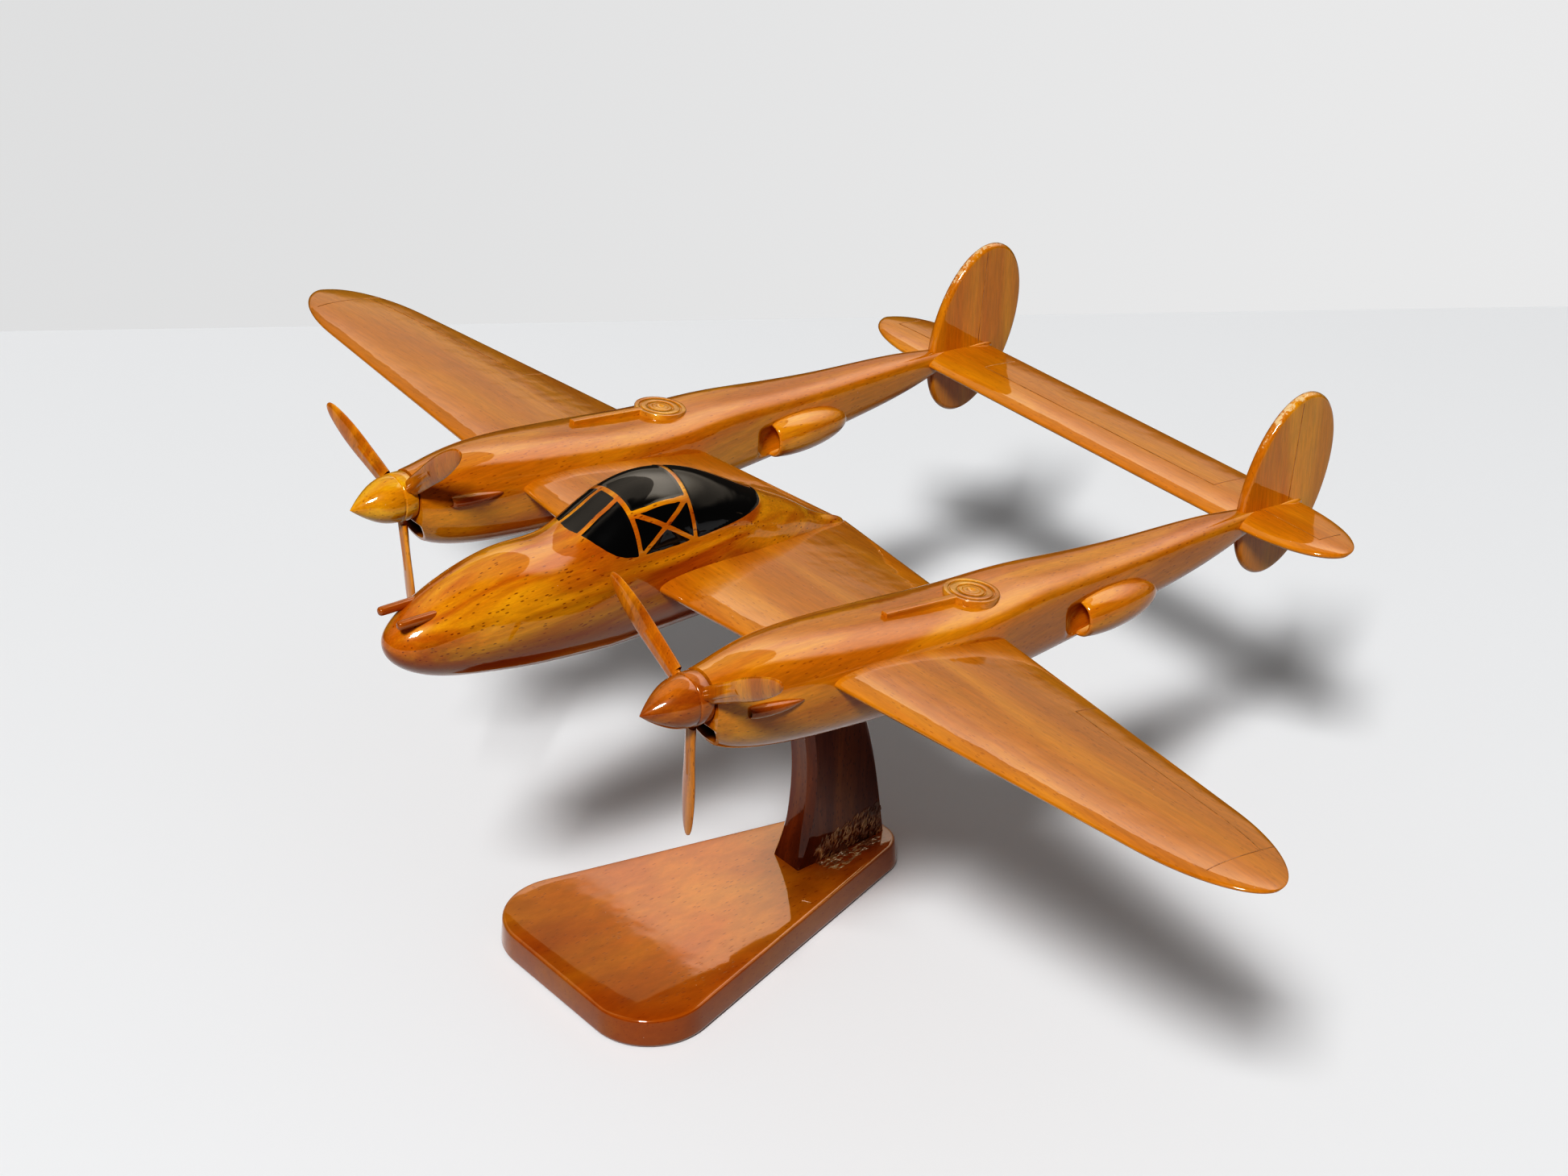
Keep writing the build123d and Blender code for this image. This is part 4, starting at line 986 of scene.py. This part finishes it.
def belly(x, y):
    """Height of the pod's underside over a place on the stand."""
    aft = y - spinner_tip[1]
    for _ in range(4):
        half, top, bottom, square = (np.interp(aft, pod_curve[:, 0], pod_curve[:, k]) for k in range(1, 5))
        sideways = np.clip(np.abs(x) / half, 0, 1)
        low = (top + bottom) / 2 - (top - bottom) / 2 * (1 - sideways ** square) ** (1 / square)
        aft = (y - spinner_tip[1] - low * math.sin(pitch)) / math.cos(pitch)
    return -aft * math.sin(pitch) + low * math.cos(pitch) + spinner_tip[2]


post_top = float(belly(0.0, neck_rear)) + 5
low_step, high_step = base_thickness + waist_rise * 0.35, (waist + post_top) / 2
front_curve = faired([(base_thickness, foot_front), (low_step, foot_front + 3.2), (waist, waist_front),
                      (high_step, (waist_front + neck_front) / 2 + 1.5), (post_top, neck_front)], 500)
rear_curve = faired([(base_thickness, foot_rear), (low_step, foot_rear + (waist_rear - foot_rear) * 0.28),
                     (waist, waist_rear), (high_step, (waist_rear + neck_rear) / 2 + 1),
                     (post_top, neck_rear)], 500)


def post_ring(z, chamfer):
    """The post's outline, its two front edges chamfered, at one height or at one for each point."""
    front = np.interp(z, front_curve[:, 0], front_curve[:, 1])
    length = np.interp(z, rear_curve[:, 0], rear_curve[:, 1]) - front
    half_way = [((post_half - chamfer) * share, 0, 0) for share in (0, 0.35, 0.7, 1)]
    half_way += [(post_half - chamfer * (1 - t), chamfer * t, 0) for t in (0.08, 0.5, 0.92, 1)]
    half_way += [(post_half, chamfer - (rear_round + chamfer) * t, t) for t in np.linspace(0.03, 1, 26)]
    half_way += [(post_half - rear_round * (1 - math.cos(a)), rear_round * (math.sin(a) - 1), 1)
                 for a in (0.5, 1.0, math.pi / 2)]
    half_way += [((post_half - rear_round) * t, 0, 1) for t in (0.6, 0.3)]
    loop = half_way + [(0, 0, 1)] + [(-x, aft, share) for x, aft, share in half_way[:0:-1]]
    x, aft, share = np.array(loop).T
    return np.c_[x, front + aft + share * length]


rings = []
for t in np.linspace(0, 1, 72):
    z = base_thickness + (post_top - base_thickness) * t
    chamfer = 0.25 + 1.75 * min(max((z - base_thickness - 1.0) / 11.0, 0.0), 1.0) ** 0.6
    for _ in range(5):
        loop = post_ring(z, chamfer)
        top = belly(loop[:, 0], loop[:, 1]) - 0.1
        z = base_thickness + (top - base_thickness) * t
    rings.append(np.c_[loop, z])
crown = rings[-1]
for share in (0.8, 0.55, 0.3, 0.1):
    loop = crown[:, :2].mean(0) + (crown[:, :2] - crown[:, :2].mean(0)) * share
    rings.append(np.c_[loop, belly(loop[:, 0], loop[:, 1]) - 0.1])
joined(skinned("post_plank", np.array(rings) / 1000, post_wood, 28), "stand_post", body="stand",
    slot="stand_wood")
for peg in ("peg_front", "peg_rear"):
    finished(peg, dowel_wood)

# ---------------------------------------------------------------- rasp marks
# Where the post meets the base on the port side, the maker cleaned up the glue with a rasp. Short
# scales of torn wood stand up there, on the post just above the joint and on the base beside it.
rasp_tree, rasp_in, rasp_out = steps_tree("torn scales on a patch", [
    ("Scales per square metre", "Float"), ("Scale length", "Float"), ("Lean", "Float"),
    ("Seed", "Int"), ("Finish", "Material")])
rasp_points = node(rasp_tree, "GeometryNodeDistributePointsOnFaces", {
    "Mesh": rasp_in["Geometry"], "Density": rasp_in["Scales per square metre"], "Seed": rasp_in["Seed"]})
rasp_angle = node(rasp_tree, "FunctionNodeRandomValue", {2: -0.55, 3: 0.55, "Seed": rasp_in["Seed"]},
    data_type="FLOAT")
rasp_swing = summed(rasp_tree, "ADD", rasp_angle.outputs[1], rasp_in["Lean"])
rasp_euler = node(rasp_tree, "ShaderNodeCombineXYZ", {2: rasp_swing}).outputs[0]
rasp_spin = node(rasp_tree, "FunctionNodeEulerToRotation", {0: rasp_euler})
rasp_turn = node(rasp_tree, "FunctionNodeRotateRotation", {0: rasp_points.outputs["Rotation"],
    1: rasp_spin.outputs[0]}, rotation_space="LOCAL").outputs[0]
rasp_size = node(rasp_tree, "FunctionNodeRandomValue", {2: 0.45, 3: 1.25, "Seed": rasp_in["Seed"]},
    data_type="FLOAT").outputs[1]
rasp_grow = summed(rasp_tree, "MULTIPLY", rasp_size, rasp_in["Scale length"])
rasp_wide = scaled(rasp_tree, (1.0, 0.3, 0.2), rasp_grow)
rasp_scale = node(rasp_tree, "GeometryNodeMeshIcoSphere", {"Radius": 1.0, "Subdivisions": 1}).outputs[0]
rasp_all = node(rasp_tree, "GeometryNodeInstanceOnPoints", {"Points": rasp_points.outputs["Points"],
    "Instance": rasp_scale, "Rotation": rasp_turn, "Scale": rasp_wide}).outputs[0]
ended(rasp_tree, rasp_all, rasp_in, rasp_out, smooth=False)
# The scales' very pale light tone is partly raw torn wood and partly painted highlight standing in for the
# sparkle of their facets.
rasp_wood_and_painted_sparkle = lacquered("torn wood with painted sparkle", (0.9, 0.6, 0.32), (0.34, 0.14, 0.05), (0.07, 0.018, 0.005),
    (600, 600, 600), (0, 1, 0), pores=0.6)
post_patch = [(post_half + 0.02, y, z) for y, z in ((foot_front + 5.5, 9.0), (foot_rear - 1.2, 9.0),
    (foot_rear - 1.8, 19.5), (foot_front + 9.0, 15.5), (foot_front + 6.2, 13.5))]
base_patch = [(post_half + x, y, base_thickness + 0.01) for x, y in (
    (0.4, foot_front + 6), (6.5, foot_front + 9), (3.2, foot_rear - 4), (0.4, foot_rear - 1.5))]
scales_per_square_metre, scale_length = 1.7e6, 0.0011
for name, patch, seed, lean in (("post", post_patch, 3, 0.9), ("base", base_patch, 8, 1.3)):
    mesh = bpy.data.meshes.new(name)
    mesh.from_pydata((np.array(patch) / 1000).tolist(), [], [tuple(range(len(patch)))])
    joined(grown(shown(name, mesh), rasp_tree, f"rasp_marks_{name}",
        Scales_per_square_metre=scales_per_square_metre, Scale_length=scale_length, Lean=lean, Seed=seed,
        Finish=rasp_wood_and_painted_sparkle), body="stand", slot="stand_wood")

# ---------------------------------------------------------------- floor and surroundings
# A sheet of matt white paper on a table, cut straight at its far edge. The room round it is white, with
# a bright wall and ceiling ahead of the camera that the lacquer mirrors, and darker behind.
floor_edge = [(-0.4657, 0.0137), (-0.1077, 0.4953)]
edge_run = (Vector(floor_edge[1]) - Vector(floor_edge[0])).normalized()
edge_in = Vector((edge_run.y, -edge_run.x))
floor_start = Vector(floor_edge[0])
floor_corners = [floor_start + edge_run * a + edge_in * b for a, b in ((-4, 0), (4, 0), (4, 4), (-4, 4))]
floor_mesh = bpy.data.meshes.new("floor")
floor_mesh.from_pydata([(*corner, 0) for corner in floor_corners], [], [(0, 1, 2, 3)][::-1])
floor = shown("floor", floor_mesh)
floor_paper = bpy.data.materials.new("white paper")
floor_paper.use_nodes = True
paper_tree = floor_paper.node_tree
paper_noise = noise(paper_tree, node(paper_tree, "ShaderNodeTexCoord").outputs["Object"], 5.0)
paper_skin = paper_tree.nodes["Principled BSDF"]
paper_skin.inputs["Roughness"].default_value = 0.75
paper_skin.inputs["Specular IOR Level"].default_value = 0.15
paper_white = blended(paper_tree, paper_noise, (0.865, 0.875, 0.885, 1), (0.885, 0.895, 0.91, 1))
paper_bounce = node(paper_tree, "ShaderNodeLightPath").outputs["Is Diffuse Ray"]
paper_tree.links.new(blended(paper_tree, paper_bounce, paper_white, (0.16, 0.16, 0.165, 1)),
    paper_skin.inputs["Base Color"])
floor_mesh.materials.append(floor_paper)

world = bpy.data.worlds.new("white room")
bpy.context.scene.world = world
world.use_nodes = True
room = world.node_tree
room.nodes.clear()
look = node(room, "ShaderNodeTexCoord").outputs["Generated"]
toward_wall = along(room, look, (-0.803, 0.597, 0.0))
look_up = node(room, "ShaderNodeSeparateXYZ", {0: look}).outputs[2]
wall = summed(room, "MULTIPLY", ramped(room, toward_wall, -0.1, 0.16), ramped(room, look_up, 1.0, 0.97))
wall = summed(room, "MULTIPLY", wall, ramped(room, look_up, 0.14, 0.22))
wall = summed(room, "MULTIPLY", wall, ramped(room, look_up, 0.3, 0.8, 0.5, 3.0))
ceiling_edge = summed(room, "SUBTRACT", along(room, look, (0.597, 0.803, -1.5)), -0.912)
wall = summed(room, "MULTIPLY", wall, ramped(room, ceiling_edge, -0.006, 0.006, 0.25, 1.0))
seen = summed(room, "MULTIPLY_ADD", wall, 1.0, 0.04)
ray = node(room, "ShaderNodeLightPath").outputs
soft = 0.23
mirrored = blended(room, 1.0, grey(room, seen), (1.3, 1.17, 1.0, 1), "MULTIPLY")
strength = blended(room, ray["Is Glossy Ray"], (soft, soft, soft, 1), mirrored)
sideways = along(room, look, (0.6254, 0.7803, 0.0))
backdrop = blended(room, ramped(room, sideways, -0.3, 0.3), (0.715, 0.716, 0.718, 1), (0.79, 0.79, 0.792, 1))
strength = blended(room, ray["Is Camera Ray"], strength, backdrop)
room.links.new(node(room, "ShaderNodeBackground", {"Color": strength, "Strength": 1.0}).outputs[0],
               node(room, "ShaderNodeOutputWorld").inputs[0])

# ---------------------------------------------------------------- light
# One square soft box, high up and a long way off, to the left behind the camera. It throws all the
# shadows on the paper, and its own small reflection shows on the round pieces.
key_from, key_distance = Vector((0.4, -0.515, 0.763)).normalized(), 6.0
lamp = bpy.data.lights.new("soft box", "AREA")
lamp.shape = "SQUARE"
lamp.size, lamp.energy = 0.98, 335.0
holder = shown("soft box", lamp)
facing = key_from.to_track_quat("Z", "Y").to_matrix().to_4x4()
holder.matrix_world = Matrix.Translation(key_from * key_distance) @ facing

# ---------------------------------------------------------------- camera
# A camera looks down on the model from ahead of its port wing, with a fairly long lens. The last lines
# give the picture the contrast of a print: darker shadows and clear whites.
camera_data = bpy.data.cameras.new("camera")
camera_data.sensor_width = 36.0
camera_data.lens = 69.67
camera_data.clip_start = 0.01
camera = shown("camera", camera_data)
azimuth, elevation, roll = math.radians(51.289), math.radians(30.288), math.radians(-0.02)
back = Vector((math.sin(azimuth) * math.cos(elevation), -math.cos(azimuth) * math.cos(elevation),
    math.sin(elevation)))
right = Vector((math.cos(azimuth), math.sin(azimuth), 0.0))
upward = back.cross(right)
turned_view = Matrix((right, upward, back)).transposed().to_4x4() @ Matrix.Rotation(roll, 4, "Z")
camera.matrix_world = Matrix.Translation((0.53446, -0.40662, 0.49651)) @ turned_view
bpy.context.scene.camera = camera
view = bpy.context.scene.view_settings
view.view_transform = "Standard"
view.use_curve_mapping = True
print_curve = view.curve_mapping.curves[3]
for light, printed in ((0.04, 0.012), (0.15, 0.1), (0.35, 0.29), (0.6, 0.6), (0.85, 0.88)):
    print_curve.points.new(light, printed)
view.curve_mapping.update()

bpy.context.view_layer.update()
